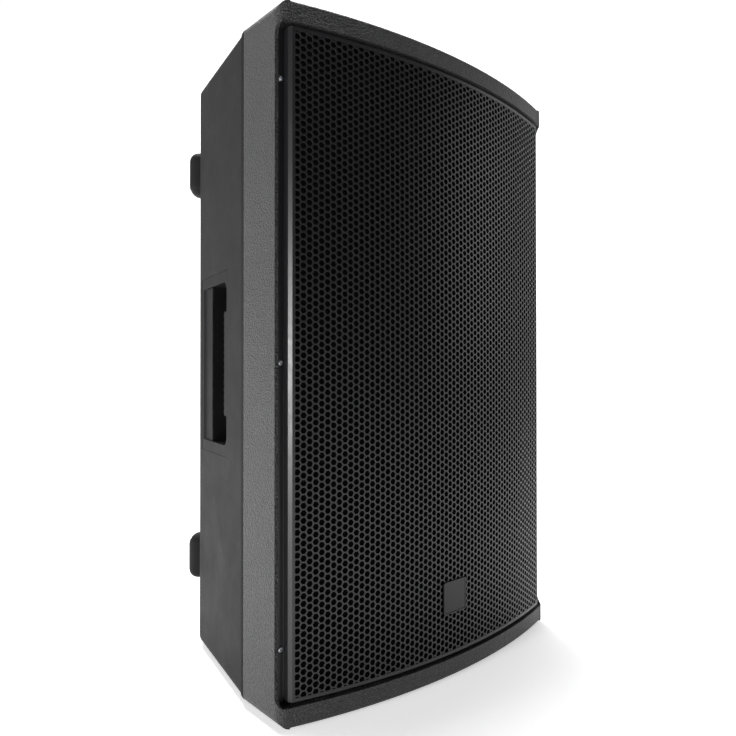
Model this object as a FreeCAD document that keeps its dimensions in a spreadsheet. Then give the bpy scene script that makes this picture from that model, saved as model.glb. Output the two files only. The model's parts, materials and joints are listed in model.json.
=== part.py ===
"""Two-way active loudspeaker cabinet with a bowed grille, side handles and a pole socket.

Frame: +Z up, the floor is z = 0, +Y runs from the grille to the amplifier, and x = 0, y = 0 is the
middle of the footprint. Depths named `behind(...)` are counted from the crown of the grille.
"""
import FreeCAD, Part
import math
import os
import Sketcher

SIZES = [
    ("cab_width", 430), ("cab_height", 710), ("cab_depth", 377), ("foot_proud", 3), ("wall", 4),
    ("corner_radius", 12), ("edge_round", 3), ("plan_round", 12), ("seam_depth", 100),
    ("seam_gap", 1), ("bead", 1), ("bead_width", 4), ("taper_angle", 11.2), ("taper_depth", 272),
    ("rear_width", 222), ("vertical_round", 14), ("bow_radius", 712), ("rail_proud", 2),
    ("rail_height", 20), ("side_edge_depth", 39), ("recess_round", 12), ("ledge_depth", 42.5),
    ("ledge_width", 8), ("baffle_depth", 50), ("baffle_thick", 8), ("screw_land", 26),
    ("frame_screw_x", 194), ("frame_screw_radius", 2.2), ("frame_screw_length", 68),
    ("boss_height", 14), ("boss_length", 34), ("grille_chord", 201), ("grille_thick", 1.2),
    ("grille_gap", 4), ("flange_x", 203.5), ("flange_start", 33), ("lip_depth", 41),
    ("grille_screw_x", 207.6), ("grille_screw_span", 562), ("foam_thick", 4), ("badge_side", 37),
    ("badge_thick", 1.8), ("badge_level", 92), ("woofer_level", 266), ("woofer_radius", 192),
    ("woofer_bore", 176), ("rim_thick", 6), ("roll_inner", 148), ("roll_outer", 168),
    ("paper", 1.2), ("coil_radius", 50), ("cone_depth", 62), ("basket_depth", 95),
    ("seat_thick", 4), ("plate_thick", 10), ("magnet_thick", 24), ("magnet_radius", 94),
    ("yoke_thick", 11), ("spider_depth", 76), ("spider_outer", 96), ("woofer_bolt_radius", 184),
    ("horn_level", 578), ("horn_width", 340), ("horn_height", 180), ("horn_depth", 118),
    ("horn_wall", 3), ("horn_flange", 12), ("throat", 26), ("driver_radius", 52), ("port_x", 160),
    ("port_level", 66), ("port_radius", 29), ("port_length", 110), ("port_flange", 6),
    ("tube_wall", 2.5), ("handle_front", 156), ("handle_rear", 262), ("handle_height", 212),
    ("handle_depth", 46), ("pocket_height", 186), ("pocket_front", 161), ("pocket_rear", 220),
    ("pocket_floor", 4), ("grip_length", 8), ("grip_height", 118), ("grip_thick", 13),
    ("rib_pitch", 8.4), ("rib_radius", 1.8), ("strip_depth", 3), ("insert_gap", 0.3),
    ("pole_depth", 190), ("pole_radius", 18.2), ("pole_length", 92), ("pole_wall", 3.2),
    ("pole_flange", 33), ("foot_radius", 15), ("foot_sink", 2), ("foot_x", 165), ("foot_front", 62),
    ("foot_rear", 215), ("bump_height", 56), ("bump_out", 17), ("bump_round", 12), ("bump_slope", 16), ("pocket_round", 10),
    ("bump_along", 44), ("bump_start", 14), ("bump_level", 250), ("tray_width", 184),
    ("tray_height", 440), ("tray_level", 338), ("tray_depth", 18), ("tray_wall", 3),
    ("tray_ledge", 8), ("panel_thick", 3), ("panel_gap", 0.5), ("sink_width", 150),
    ("sink_height", 200), ("sink_level", 452), ("sink_base", 3), ("fin_height", 11),
    ("fin_thick", 2), ("fin_pitch", 12.2), ("jack_level", 318), ("jack_pitch", 44),
    ("jack_radius", 12), ("jack_bore", 9.4), ("jack_length", 23.5), ("knob_level", 268),
    ("knob_pitch", 36), ("knob_radius", 8), ("knob_length", 11), ("shaft_radius", 3),
    ("shaft_clear", 0.08), ("button_level", 232), ("button_side", 7), ("button_proud", 4),
    ("lamp_radius", 2.5), ("mains_level", 165), ("inlet_x", 38), ("inlet_width", 28),
    ("inlet_height", 20), ("inlet_length", 24), ("switch_width", 14), ("switch_height", 24),
    ("board_gap", 22), ("board_width", 150), ("board_height", 380), ("board_thick", 1.6),
    ("running_gap", 0.35),
]

FRONT_SCREW_RISES = (322, 60, -250, -322)      # above the middle of the cabinet
KNOB_COLUMNS = (-1.5, -0.5, 0.5, 1.5)          # in knob pitches from the panel's middle
KNOB_NAMES = ("input_one_knob", "input_two_knob", "tone_knob", "master_knob")
BUTTON_NAMES = ("line_button", "contour_button")
RIB_COUNT = 14
FIN_COUNT = 12
WOOFER_BOLTS = 8
BASKET_LEGS = 8

doc = FreeCAD.newDocument("Loudspeaker")
sheet = doc.addObject("Spreadsheet::Sheet", "Sizes")
parts = []


class Size:
    """A length that carries both its value and the sheet formula that gives it."""

    def __init__(self, value, text):
        self.value = float(value)
        self.text = text

    def __add__(self, other):
        other = size_of(other)
        return Size(self.value + other.value, f"({self.text} + {other.text})")

    def __sub__(self, other):
        other = size_of(other)
        return Size(self.value - other.value, f"({self.text} - {other.text})")

    def __mul__(self, other):
        other = size_of(other)
        return Size(self.value * other.value, f"({self.text} * {other.text})")

    def __truediv__(self, other):
        other = size_of(other)
        return Size(self.value / other.value, f"({self.text} / {other.text})")

    def __neg__(self):
        return Size(-self.value, f"(0 - {self.text})")

    def __radd__(self, other):
        return size_of(other) + self

    def __rsub__(self, other):
        return size_of(other) - self

    def __rmul__(self, other):
        return size_of(other) * self


def size_of(number):
    return number if isinstance(number, Size) else Size(number, repr(float(number)))


def tangent(degrees):
    return Size(math.tan(math.radians(degrees.value)), f"tan({degrees.text} * 1 deg)")


def cosine(degrees):
    return Size(math.cos(math.radians(degrees.value)), f"cos({degrees.text} * 1 deg)")


def root(area):
    return Size(math.sqrt(area.value), f"sqrt({area.text})")


class Sheet:
    """Fills the spreadsheet and hands out each cell as a Size."""

    def __init__(self, sizes):
        self.sizes = {}
        for row, (alias, value) in enumerate(sizes, start=1):
            sheet.set(f"A{row}", alias)
            sheet.set(f"B{row}", str(value))
            sheet.setAlias(f"B{row}", alias)
            self.sizes[alias] = Size(value, f"Sizes.{alias}")
        doc.recompute()

    def __getattr__(self, alias):
        return self.sizes[alias]


S = Sheet(SIZES)


# ---------------------------------------------------------------- helpers

def bind(obj, prop, value):
    value = size_of(value)
    obj.setExpression(prop, value.text)


def place(obj, x=0, y=0, z=0, axis=None, angle=0):
    if axis:
        obj.Placement = FreeCAD.Placement(FreeCAD.Vector(), FreeCAD.Rotation(FreeCAD.Vector(*axis), angle))
    for name, value in zip("xyz", (x, y, z)):
        bind(obj, f"Placement.Base.{name}", value)
    return obj


def finish(obj, label, **where):
    """Names a finished sub-part and keeps it for writing."""
    obj.Label = label
    parts.append(obj)
    return place(obj, **where) if where else obj


def new_body(name):
    return doc.addObject("PartDesign::Body", name)


def new_sketch(body, plane, start=0):
    """A sketch on an origin plane, moved by `start` along +Z, +Y or +X."""
    sketch = body.newObject("Sketcher::SketchObject", "Sketch")
    support = [item for item in body.Origin.OriginFeatures if item.Role == plane][0]
    sketch.AttachmentSupport = [(support, "")]
    sketch.MapMode = "FlatFace"
    start = size_of(start)
    bind(sketch, "AttachmentOffset.Base.z", -start if plane == "XZ_Plane" else start)
    return sketch


def pin_down(sketch, edge, point, x, y):
    for kind, value in (("DistanceX", size_of(x)), ("DistanceY", size_of(y))):
        index = sketch.addConstraint(Sketcher.Constraint(kind, -1, 1, edge, point, value.value))
        sketch.setExpression(f"Constraints[{index}]", value.text)


def arc_through(begin, end, radius):
    """An arc from begin to end: anticlockwise for a positive radius, clockwise for a negative one."""
    first, last = (begin, end) if radius > 0 else (end, begin)
    chord = last - first
    rise = math.sqrt(max(radius ** 2 - chord.Length ** 2 / 4, 0))
    normal = FreeCAD.Vector(-chord.y, chord.x, 0).normalize()
    centre = (first + last) / 2 + normal * rise
    angles = [math.atan2((p - centre).y, (p - centre).x) for p in (first, last)]
    circle = Part.Circle(centre, FreeCAD.Vector(0, 0, 1), abs(radius))
    return Part.ArcOfCircle(circle, *angles)


def outline(sketch, points):
    """A closed loop of (x, y) corners; a third value makes the stretch ending there such an arc."""
    corners = [FreeCAD.Vector(size_of(p[0]).value, size_of(p[1]).value, 0) for p in points]
    edges = []
    for number, point in enumerate(points):
        begin, end = corners[number - 1], corners[number]
        if len(point) > 2:
            radius = size_of(point[2])
            edge = sketch.addGeometry(arc_through(begin, end, radius.value))
            ends = (1, 2) if radius.value > 0 else (2, 1)
            index = sketch.addConstraint(Sketcher.Constraint("Radius", edge, abs(radius.value)))
            sketch.setExpression(f"Constraints[{index}]", f"abs({radius.text})")
        else:
            edge = sketch.addGeometry(Part.LineSegment(begin, end))
            ends = (1, 2)
        edges.append((edge, ends))
    for number, point in enumerate(points):
        edge, ends = edges[number]
        following, next_ends = edges[(number + 1) % len(edges)]
        sketch.addConstraint(Sketcher.Constraint("Coincident", edge, ends[1], following, next_ends[0]))
        pin_down(sketch, edge, ends[1], point[0], point[1])


def circle(sketch, x, y, radius):
    radius = size_of(radius)
    centre = FreeCAD.Vector(size_of(x).value, size_of(y).value, 0)
    edge = sketch.addGeometry(Part.Circle(centre, FreeCAD.Vector(0, 0, 1), radius.value))
    pin_down(sketch, edge, 3, x, y)
    index = sketch.addConstraint(Sketcher.Constraint("Radius", edge, radius.value))
    sketch.setExpression(f"Constraints[{index}]", radius.text)


def rectangle(sketch, x, y, width, height, radius=None):
    x, y, width, height = (size_of(value) for value in (x, y, width, height))
    left, right = x - width / 2, x + width / 2
    low, top = y - height / 2, y + height / 2
    if radius is None:
        outline(sketch, [(left, low), (right, low), (right, top), (left, top)])
        return
    r = size_of(radius)
    outline(sketch, [
        (left + r, low), (right - r, low), (right, low + r, r), (right, top - r), (right - r, top, r),
        (left + r, top), (left, top - r, r), (left, low + r), (left + r, low, r),
    ][1:])


def extrude(body, kind, sketch, length):
    """Pads or pockets a sketch by `length` towards +Z, +Y or +X, whichever is the sketch's axis."""
    backwards = sketch.AttachmentSupport[0][0].Role == "XZ_Plane"
    feature = body.newObject(f"PartDesign::{kind}", kind)
    feature.Profile = sketch
    feature.Reversed = backwards if kind == "Pad" else not backwards
    bind(feature, "Length", length)
    doc.recompute()
    return feature


def pad(body, sketch, length):
    return extrude(body, "Pad", sketch, length)


def pocket(body, sketch, length):
    before = body.Shape.Volume
    feature = extrude(body, "Pocket", sketch, length)
    assert body.Shape.Volume < before - 0.01, f"{body.Name}: a pocket cut nothing"
    return feature


def pad_rectangle(body, plane, start, length, *shape):
    sketch = new_sketch(body, plane, start)
    rectangle(sketch, *shape)
    return pad(body, sketch, length)


def cut_rectangle(body, plane, start, length, *shape):
    sketch = new_sketch(body, plane, start)
    rectangle(sketch, *shape)
    return pocket(body, sketch, length)


def pad_circles(body, plane, start, length, radius, centres=((0, 0),)):
    sketch = new_sketch(body, plane, start)
    for x, y in centres:
        circle(sketch, x, y, radius)
    return pad(body, sketch, length)


def cut_circles(body, plane, start, length, radius, centres=((0, 0),)):
    sketch = new_sketch(body, plane, start)
    for x, y in centres:
        circle(sketch, x, y, radius)
    return pocket(body, sketch, length)


def turned(name, points):
    """A ring or disc about the Y axis, from (depth, radius) corners."""
    body = new_body(name)
    sketch = new_sketch(body, "YZ_Plane")
    outline(sketch, points)
    feature = body.newObject("PartDesign::Revolution", "Revolution")
    feature.Profile = sketch
    feature.ReferenceAxis = (sketch, ["H_Axis"])
    feature.Angle = 360
    doc.recompute()
    return body


def ring(name, start, length, inner, outer):
    end = size_of(start) + length
    return turned(name, [(start, inner), (end, inner), (end, outer), (start, outer)])


def round_edges(body, radius, wanted):
    """Fillets the edges for which wanted(edge) is true."""
    names = [f"Edge{i}" for i, edge in enumerate(body.Shape.Edges, start=1) if wanted(edge)]
    assert names, f"{body.Name}: no edges to round"
    rounded = body.Tip
    feature = body.newObject("PartDesign::Fillet", "Fillet")
    feature.Base = (rounded, names)
    bind(feature, "Radius", radius)
    body.Tip = feature
    doc.recompute()
    assert "Invalid" not in feature.State, f"{body.Name}: the edges can't be rounded"
    return feature


def upright(edge):
    box = edge.BoundBox
    return box.ZLength > 1 and box.XLength < 0.01 and box.YLength < 0.01


def behind(depth):
    """The y of a depth counted from the grille's crown."""
    return size_of(depth) - S.cab_depth / 2 + S.rail_proud


def bow(radius, half_width):
    """The y at which an arc of the bow's centre passes a half width."""
    return behind(S.bow_radius) - root(radius * radius - half_width * half_width)


def grouped(pieces):
    group = doc.addObject("Part::Compound", "Group")
    group.Links = pieces
    return group


def screw_group(label, centres, radius, length, head_radius, head_height, facing=-1):
    """Screws along Y whose heads face the front (-1) or the back (+1), seated at y of each centre."""
    screws = []
    for x, y, z in centres:
        head = doc.addObject("Part::Cylinder", "Head")
        shank = doc.addObject("Part::Cylinder", "Shank")
        bind(head, "Radius", head_radius)
        bind(head, "Height", head_height)
        bind(shank, "Radius", radius)
        bind(shank, "Height", length)
        place(head, x, y, z, (1, 0, 0), -90 * facing)
        place(shank, x, y, z, (1, 0, 0), 90 * facing)
        screw = doc.addObject("Part::Fuse", "Screw")
        screw.Base = head
        screw.Tool = shank
        screws.append(screw)
    return finish(grouped(screws), label)


def cylinder_group(label, centres, radius, length, axis=None, angle=0):
    cylinders = []
    for x, y, z in centres:
        cylinder = doc.addObject("Part::Cylinder", "Cylinder")
        bind(cylinder, "Radius", radius)
        bind(cylinder, "Height", length)
        cylinders.append(place(cylinder, x, y, z, axis, angle))
    return finish(grouped(cylinders), label)


# ---------------------------------------------------------------- derived sizes

HALF = S.cab_width / 2
BASE = S.foot_proud
MIDDLE = BASE + S.cab_height / 2
FRONT = behind(-S.rail_proud)
SEAM_FRONT = behind(S.seam_depth) - S.seam_gap / 2
SEAM_BACK = SEAM_FRONT + S.seam_gap
BACK = behind(S.cab_depth - S.rail_proud)
BAFFLE = behind(S.baffle_depth)
BAFFLE_BACK = BAFFLE + S.baffle_thick
INNER_HALF = HALF - S.wall
OPENING_HEIGHT = S.cab_height - 2 * S.rail_height
SHELL_HALF = HALF - S.bead
TAPER_Y = behind(S.taper_depth)
TAPER = tangent(S.taper_angle)
TAPER_HALF = SHELL_HALF - (TAPER_Y - SEAM_BACK) * TAPER
REAR_HALF = S.rear_width / 2
BOSS_X = S.frame_screw_x
PANEL_FACE = BACK - S.tray_depth
PANEL_BACK = PANEL_FACE - S.panel_thick


def side_x(y):
    """The half width of the tapered side at a y."""
    return SHELL_HALF - (y - SEAM_BACK) * TAPER


def frame_screw_centres():
    return [(side * BOSS_X, MIDDLE + rise) for side in (-1, 1) for rise in FRONT_SCREW_RISES]


def circle_of(count, radius, level, turn=0.5):
    """(x, z) centres evenly spaced on a circle."""
    steps = [2 * math.pi * (i + turn) / count for i in range(count)]
    return [(radius * math.cos(a), level + radius * math.sin(a)) for a in steps]


# ---------------------------------------------------------------- cabinet

def front_edge(edge, side_y):
    """Whether an edge is a level one along the front of the top or bottom."""
    box = edge.BoundBox
    return box.YMax < side_y + 0.1 and box.ZLength < 0.1


def front_frame():
    body = new_body("FrontFrame")
    depth = SEAM_FRONT - FRONT
    pad_rectangle(body, "XZ_Plane", FRONT, depth, 0, MIDDLE, S.cab_width, S.cab_height, S.corner_radius)
    rail_radius = S.bow_radius + S.rail_proud
    reach, shoulder = HALF + 5, HALF - S.plan_round
    shoulder_y = bow(rail_radius, shoulder)
    side_y = shoulder_y + S.plan_round
    sketch = new_sketch(body, "XY_Plane", 0)
    outline(sketch, [
        (-reach, FRONT - 5), (reach, FRONT - 5), (reach, side_y), (HALF, side_y),
        (shoulder, shoulder_y, -S.plan_round), (-shoulder, shoulder_y, -rail_radius),
        (-HALF, side_y, -S.plan_round), (-reach, side_y),
    ])
    pocket(body, sketch, S.cab_height + 2 * BASE)
    round_edges(body, S.edge_round, lambda e: front_edge(e, side_y.value))
    low, top = MIDDLE - OPENING_HEIGHT / 2, MIDDLE + OPENING_HEIGHT / 2
    edge, r = behind(S.side_edge_depth), S.recess_round
    sketch = new_sketch(body, "YZ_Plane", -reach)
    outline(sketch, [
        (FRONT - 5, low), (edge - r, low), (edge, low + r, r), (edge, top - r), (edge - r, top, r),
        (FRONT - 5, top),
    ])
    pocket(body, sketch, 2 * reach)
    ledge = behind(S.ledge_depth)
    cut_rectangle(body, "XZ_Plane", FRONT, ledge - FRONT, 0, MIDDLE, 2 * INNER_HALF, OPENING_HEIGHT)
    cut_rectangle(body, "XZ_Plane", ledge - 1, BAFFLE - ledge + 1,
                  0, MIDDLE, 2 * (INNER_HALF - S.ledge_width), OPENING_HEIGHT)
    cut_rectangle(body, "XZ_Plane", BAFFLE_BACK, SEAM_FRONT - BAFFLE_BACK,
                  0, MIDDLE, 2 * INNER_HALF, S.cab_height - 2 * S.wall, S.corner_radius - S.wall)
    for side in (-1, 1):
        for rise in FRONT_SCREW_RISES:
            pad_rectangle(body, "XZ_Plane", BAFFLE_BACK - 1, SEAM_FRONT - BAFFLE_BACK + 1,
                          side * (INNER_HALF + 1 - S.screw_land / 2), MIDDLE + rise, S.screw_land, S.boss_height)
    cut_circles(body, "XZ_Plane", BAFFLE - 1, SEAM_FRONT - BAFFLE + 2, S.frame_screw_radius,
                frame_screw_centres())
    through = S.baffle_thick + 2
    cut_circles(body, "XZ_Plane", BAFFLE - 1, through, S.woofer_bore, [(0, S.woofer_level)])
    cut_circles(body, "XZ_Plane", BAFFLE - 1, through, S.port_radius + S.tube_wall,
                [(-S.port_x, S.port_level), (S.port_x, S.port_level)])
    cut_rectangle(body, "XZ_Plane", BAFFLE - 1, through, 0, S.horn_level, S.horn_width, S.horn_height, 12)
    cut_circles(body, "XZ_Plane", BAFFLE - 1, through, 2.2,
                circle_of(WOOFER_BOLTS, S.woofer_bolt_radius, S.woofer_level))
    cut_circles(body, "XZ_Plane", BAFFLE - 1, through, 1.8, horn_screw_centres())
    cut_circles(body, "XZ_Plane", ledge - 1, 11, 1.6, grille_screw_centres())
    return finish(body, "front_frame")


def rear_outline(inset):
    """Plan corners of the rear shell, moved inwards by a wall."""
    side = inset / cosine(S.taper_angle)
    return [
        (SHELL_HALF - side, SEAM_BACK), (TAPER_HALF - side, TAPER_Y), (REAR_HALF - inset / 2, BACK - inset),
        (inset / 2 - REAR_HALF, BACK - inset), (side - TAPER_HALF, TAPER_Y), (side - SHELL_HALF, SEAM_BACK),
    ]


def rear_shell():
    body = new_body("RearShell")
    sketch = new_sketch(body, "XY_Plane", BASE)
    outline(sketch, rear_outline(size_of(0)))
    pad(body, sketch, S.cab_height)
    seam = SEAM_BACK.value
    round_edges(body, S.vertical_round, lambda e: upright(e) and e.BoundBox.YMin > seam + 1)
    round_edges(body, S.corner_radius, lambda e: e.BoundBox.ZLength < 0.01 and e.BoundBox.YMax > seam + 0.1)
    pad_rectangle(body, "XZ_Plane", SEAM_BACK, S.bead_width, 0, MIDDLE, S.cab_width, S.cab_height,
                  S.corner_radius)
    sketch = new_sketch(body, "XY_Plane", BASE + S.wall)
    corners = rear_outline(S.wall)
    mouth = [(corners[0][0], SEAM_BACK - 1), corners[0]]
    outline(sketch, mouth + corners[1:] + [(corners[-1][0], SEAM_BACK - 1)])
    pocket(body, sketch, S.cab_height - 2 * S.wall)
    boss_out = side_x(SEAM_BACK + S.boss_length) - 1
    boss_in = BOSS_X - S.boss_height / 2
    for side in (-1, 1):
        for rise in FRONT_SCREW_RISES:
            pad_rectangle(body, "XZ_Plane", SEAM_BACK, S.boss_length, side * (boss_out + boss_in) / 2,
                          MIDDLE + rise, boss_out - boss_in, S.boss_height)
    cut_circles(body, "XZ_Plane", SEAM_BACK - 1, S.boss_length - 2, S.frame_screw_radius,
                frame_screw_centres())
    tray = S.tray_width + 2 * S.tray_wall
    tray_tall = S.tray_height + 2 * S.tray_wall
    tray_back = PANEL_BACK - S.tray_wall
    pad_rectangle(body, "XZ_Plane", tray_back, BACK - tray_back - S.wall / 2,
                  0, S.tray_level, tray, tray_tall)
    cut_rectangle(body, "XZ_Plane", PANEL_BACK, BACK - PANEL_BACK + 1,
                  0, S.tray_level, S.tray_width, S.tray_height, 4)
    cut_rectangle(body, "XZ_Plane", tray_back - 1, S.tray_wall + 2, 0, S.tray_level,
                  S.tray_width - 2 * S.tray_ledge, S.tray_height - 2 * S.tray_ledge)
    cut_circles(body, "XZ_Plane", PANEL_BACK - 5, 6, 1.2, panel_screw_centres())
    hole = S.handle_rear - S.handle_front
    for start in (-HALF - 1, HALF - handle_reach()):
        cut_rectangle(body, "YZ_Plane", start, handle_reach() + 1, behind(S.handle_front) + hole / 2, MIDDLE,
                      hole, S.handle_height)
    cut_circles(body, "XY_Plane", BASE - 1, S.wall + 2, S.pole_radius + S.pole_wall,
                [(0, behind(S.pole_depth))])
    cut_circles(body, "XY_Plane", BASE - 1, S.foot_sink + 1, S.foot_radius,
                [(side * S.foot_x * 0.9, behind(S.foot_rear)) for side in (-1, 1)])
    cut_circles(body, "XY_Plane", BASE - 1, S.wall + 2, 1.8, pole_screw_centres())
    return finish(body, "rear_shell")


def seam_gasket():
    body = new_body("SeamGasket")
    inset = 1.2
    depth = SEAM_BACK - SEAM_FRONT
    pad_rectangle(body, "XZ_Plane", SEAM_FRONT, depth, 0, MIDDLE, S.cab_width - 2 * inset,
                  S.cab_height - 2 * inset, S.corner_radius - inset)
    inner = 2 * S.wall + 2
    cut_rectangle(body, "XZ_Plane", SEAM_FRONT - 1, depth + 2, 0, MIDDLE, S.cab_width - inner,
                  S.cab_height - inner, S.corner_radius - S.wall)
    return finish(body, "seam_gasket")


def base_feet():
    feet = []
    for depth, share in ((S.foot_front, 1.0), (S.foot_rear, 0.9)):
        for side in (-1, 1):
            body = new_body("BaseFoot")
            pad_circles(body, "XY_Plane", 0, BASE + S.foot_sink, S.foot_radius)
            round_edges(body, 1.2, lambda e: e.BoundBox.ZMax < 0.01)
            feet.append(place(body, side * S.foot_x * share, behind(depth)))
    finish(grouped(feet), "base_feet")


def foot_recesses(body):
    cut_circles(body, "XY_Plane", BASE - 1, S.foot_sink + 1, S.foot_radius,
                [(side * S.foot_x, behind(S.foot_front)) for side in (-1, 1)])


def rear_bumps():
    """Four moulded feet on the slanting rear corners, for laying the cabinet on its side."""
    run_x, run_y = REAR_HALF - TAPER_HALF, BACK - TAPER_Y
    run = root(run_x * run_x + run_y * run_y)
    along = (run_x / run, run_y / run)
    feet = []
    for side in (-1, 1):
        def at(distance, out, side=side):
            x = TAPER_HALF + along[0] * distance + along[1] * out
            y = TAPER_Y + along[1] * distance - along[0] * out
            return (side * x, y)
        for rise in (-1, 1):
            body = new_body("RearBump")
            sketch = new_sketch(body, "XY_Plane", 0)
            first, last = S.bump_start, S.bump_start + S.bump_along
            crown = last - S.bump_slope
            outline(sketch, [at(first, 0), at(first + 3, S.bump_out), at(crown, S.bump_out), at(last, 0)])
            pad(body, sketch, S.bump_height)
            round_edges(body, S.bump_round, lambda e: upright(e) and not on_wedge(e, at))
            round_edges(body, S.bump_round, lambda e: e.BoundBox.ZLength < 0.01 and not on_wedge(e, at))
            feet.append(place(body, z=MIDDLE + rise * S.bump_level - S.bump_height / 2))
    finish(grouped(feet), "rear_feet")


def on_wedge(edge, at):
    """Whether an edge lies on the slanting corner that the foot stands on."""
    start = FreeCAD.Vector(at(0, 0)[0].value, at(0, 0)[1].value, 0)
    end = FreeCAD.Vector(at(50, 0)[0].value, at(50, 0)[1].value, 0)
    direction = (end - start).normalize()
    for vertex in edge.Vertexes:
        offset = FreeCAD.Vector(vertex.X, vertex.Y, 0) - start
        if offset.cross(direction).Length > 0.05:
            return False
    return True


# ---------------------------------------------------------------- handles

def handle_reach():
    """How far the handle's cut runs in from the widest side."""
    return HALF - side_x(behind(S.handle_rear)) + S.wall * 2


def at_corner(edge, front, levels):
    """Whether an edge runs inward along the pocket's front wall at one of its ends."""
    box = edge.BoundBox
    level = any(abs(box.ZMin - z.value) < 0.01 and box.ZLength < 0.01 for z in levels)
    return level and box.YLength < 0.01 and abs(box.YMin - front.value) < 0.01


def side_handle(side, label):
    body = new_body("SideHandle")
    gap = S.insert_gap
    near, far = behind(S.handle_front), behind(S.handle_rear)
    low, tall = MIDDLE - S.handle_height / 2, S.handle_height
    sketch = new_sketch(body, "XY_Plane", low + gap)
    outline(sketch, [
        (side * (side_x(near + gap) - gap), near + gap), (side * (side_x(far - gap) - gap), far - gap),
        (side * (side_x(far) - S.handle_depth), far - gap),
        (side * (side_x(far) - S.handle_depth), near + gap),
    ])
    pad(body, sketch, tall - 2 * gap)
    front, rear = behind(S.pocket_front), behind(S.pocket_rear)
    half = S.pocket_height / 2
    sketch = new_sketch(body, "XY_Plane", MIDDLE - half)
    floor = side_x(far) - S.handle_depth + S.pocket_floor
    outline(sketch, [
        (side * HALF, front + S.grip_length), (side * HALF, rear), (side * floor, rear - 6),
        (side * floor, front), (side * (side_x(front) - S.grip_thick), front),
        (side * (side_x(front) - S.grip_thick), front + S.grip_length),
    ])
    pocket(body, sketch, S.pocket_height)
    beyond = (S.pocket_height - S.grip_height) / 2
    for start in (MIDDLE - half, MIDDLE + half - beyond):
        sketch = new_sketch(body, "XY_Plane", start)
        outline(sketch, [
            (side * HALF, front), (side * HALF, rear - 1), (side * (floor + 1), rear - 8),
            (side * (floor + 1), front),
        ])
        pocket(body, sketch, beyond)
    corners = (MIDDLE - half, MIDDLE + half)
    round_edges(body, S.pocket_round, lambda edge: at_corner(edge, front, corners))
    strip = S.strip_depth
    sketch = new_sketch(body, "XY_Plane", MIDDLE - half)
    outline(sketch, [
        (side * HALF, rear - 2), (side * HALF, far - 6), (side * side_x(far - 6), far - 6),
        (side * (side_x(far - 10) - strip), far - 10), (side * (side_x(rear - 2) - strip), rear - 2),
    ])
    pocket(body, sketch, S.pocket_height)
    body_rear = front + S.grip_length
    first = MIDDLE - S.rib_pitch * (RIB_COUNT - 1) / 2
    sketch = new_sketch(body, "XY_Plane", first - S.rib_radius)
    face = side_x(body_rear)
    outline(sketch, [
        (side * (face - 0.4), body_rear - 1), (side * (face - 0.4), body_rear + 1.6),
        (side * (face - S.grip_thick + 2), body_rear + 1.6),
        (side * (face - S.grip_thick + 2), body_rear - 1),
    ])
    rib = pad(body, sketch, 2 * S.rib_radius)
    pattern = body.newObject("PartDesign::LinearPattern", "Ribs")
    pattern.Originals = [rib]
    pattern.Direction = (sketch, ["N_Axis"])
    bind(pattern, "Length", S.rib_pitch * (RIB_COUNT - 1))
    pattern.Occurrences = RIB_COUNT
    body.Tip = pattern
    doc.recompute()
    return finish(body, label)


# ---------------------------------------------------------------- grille

def grille_path(outer, thick):
    """Plan corners of the bowed sheet with its bent edges, as a strip of a given thickness."""
    chord, flange = S.grille_chord, S.flange_x
    inner = outer - thick
    lip, lip_end = behind(S.lip_depth), INNER_HALF - 0.5
    front_y, back_y = bow(outer, chord), bow(inner, chord - thick / 2)
    bevel = behind(S.flange_start)
    half = [
        (chord, front_y, outer), (flange, bevel), (flange, lip), (lip_end, lip), (lip_end, lip + thick),
        (flange - thick, lip + thick), (flange - thick, bevel + thick / 2), (chord - thick / 2, back_y),
    ]
    mirrored = [(-half[7][0], half[7][1], -inner)]
    mirrored += [(-x, y) for x, y in reversed(half[1:7])]
    mirrored += [(-chord, front_y)]
    return half + mirrored


def grille():
    body = new_body("Grille")
    tall = OPENING_HEIGHT - 2 * S.grille_gap
    sketch = new_sketch(body, "XY_Plane", MIDDLE - tall / 2)
    outline(sketch, grille_path(S.bow_radius, S.grille_thick))
    pad(body, sketch, tall)
    cut_circles(body, "XZ_Plane", behind(S.lip_depth) - 1, S.grille_thick + 2, 1.7, grille_screw_centres())
    return finish(body, "grille")


def grille_foam():
    body = new_body("GrilleFoam")
    tall = OPENING_HEIGHT - 2 * S.grille_gap - 4
    outer = S.bow_radius - S.grille_thick - 0.1
    inner = outer - S.foam_thick
    half = S.grille_chord - 4
    sketch = new_sketch(body, "XY_Plane", MIDDLE - tall / 2)
    outline(sketch, [
        (half, bow(outer, half), outer), (half, bow(inner, half)), (-half, bow(inner, half), -inner),
        (-half, bow(outer, half)),
    ])
    pad(body, sketch, tall)
    return finish(body, "grille_foam")


def grille_screw_centres():
    return [(side * S.grille_screw_x, MIDDLE + rise * S.grille_screw_span / 2)
            for side in (-1, 1) for rise in (-1, 0, 1)]


def grille_screws():
    lip = behind(S.lip_depth)
    screw_group("grille_screws", [(x, lip, z) for x, z in grille_screw_centres()], 1.5, 9, 3, 2)


def badge():
    body = new_body("Badge")
    y = behind(0) - S.badge_thick - 0.05
    pad_rectangle(body, "XZ_Plane", y, S.badge_thick, 0, S.badge_level, S.badge_side, S.badge_side, 2)
    round_edges(body, 0.6, lambda e: e.BoundBox.YMax < y.value + 0.01)
    return finish(body, "badge")


def frame_screws():
    screw_group("frame_screws", [(x, BAFFLE, z) for x, z in frame_screw_centres()],
                S.frame_screw_radius, S.frame_screw_length, 4.2, 2.8)


# ---------------------------------------------------------------- woofer

def woofer_place():
    return {"y": BAFFLE, "z": S.woofer_level}


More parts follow.
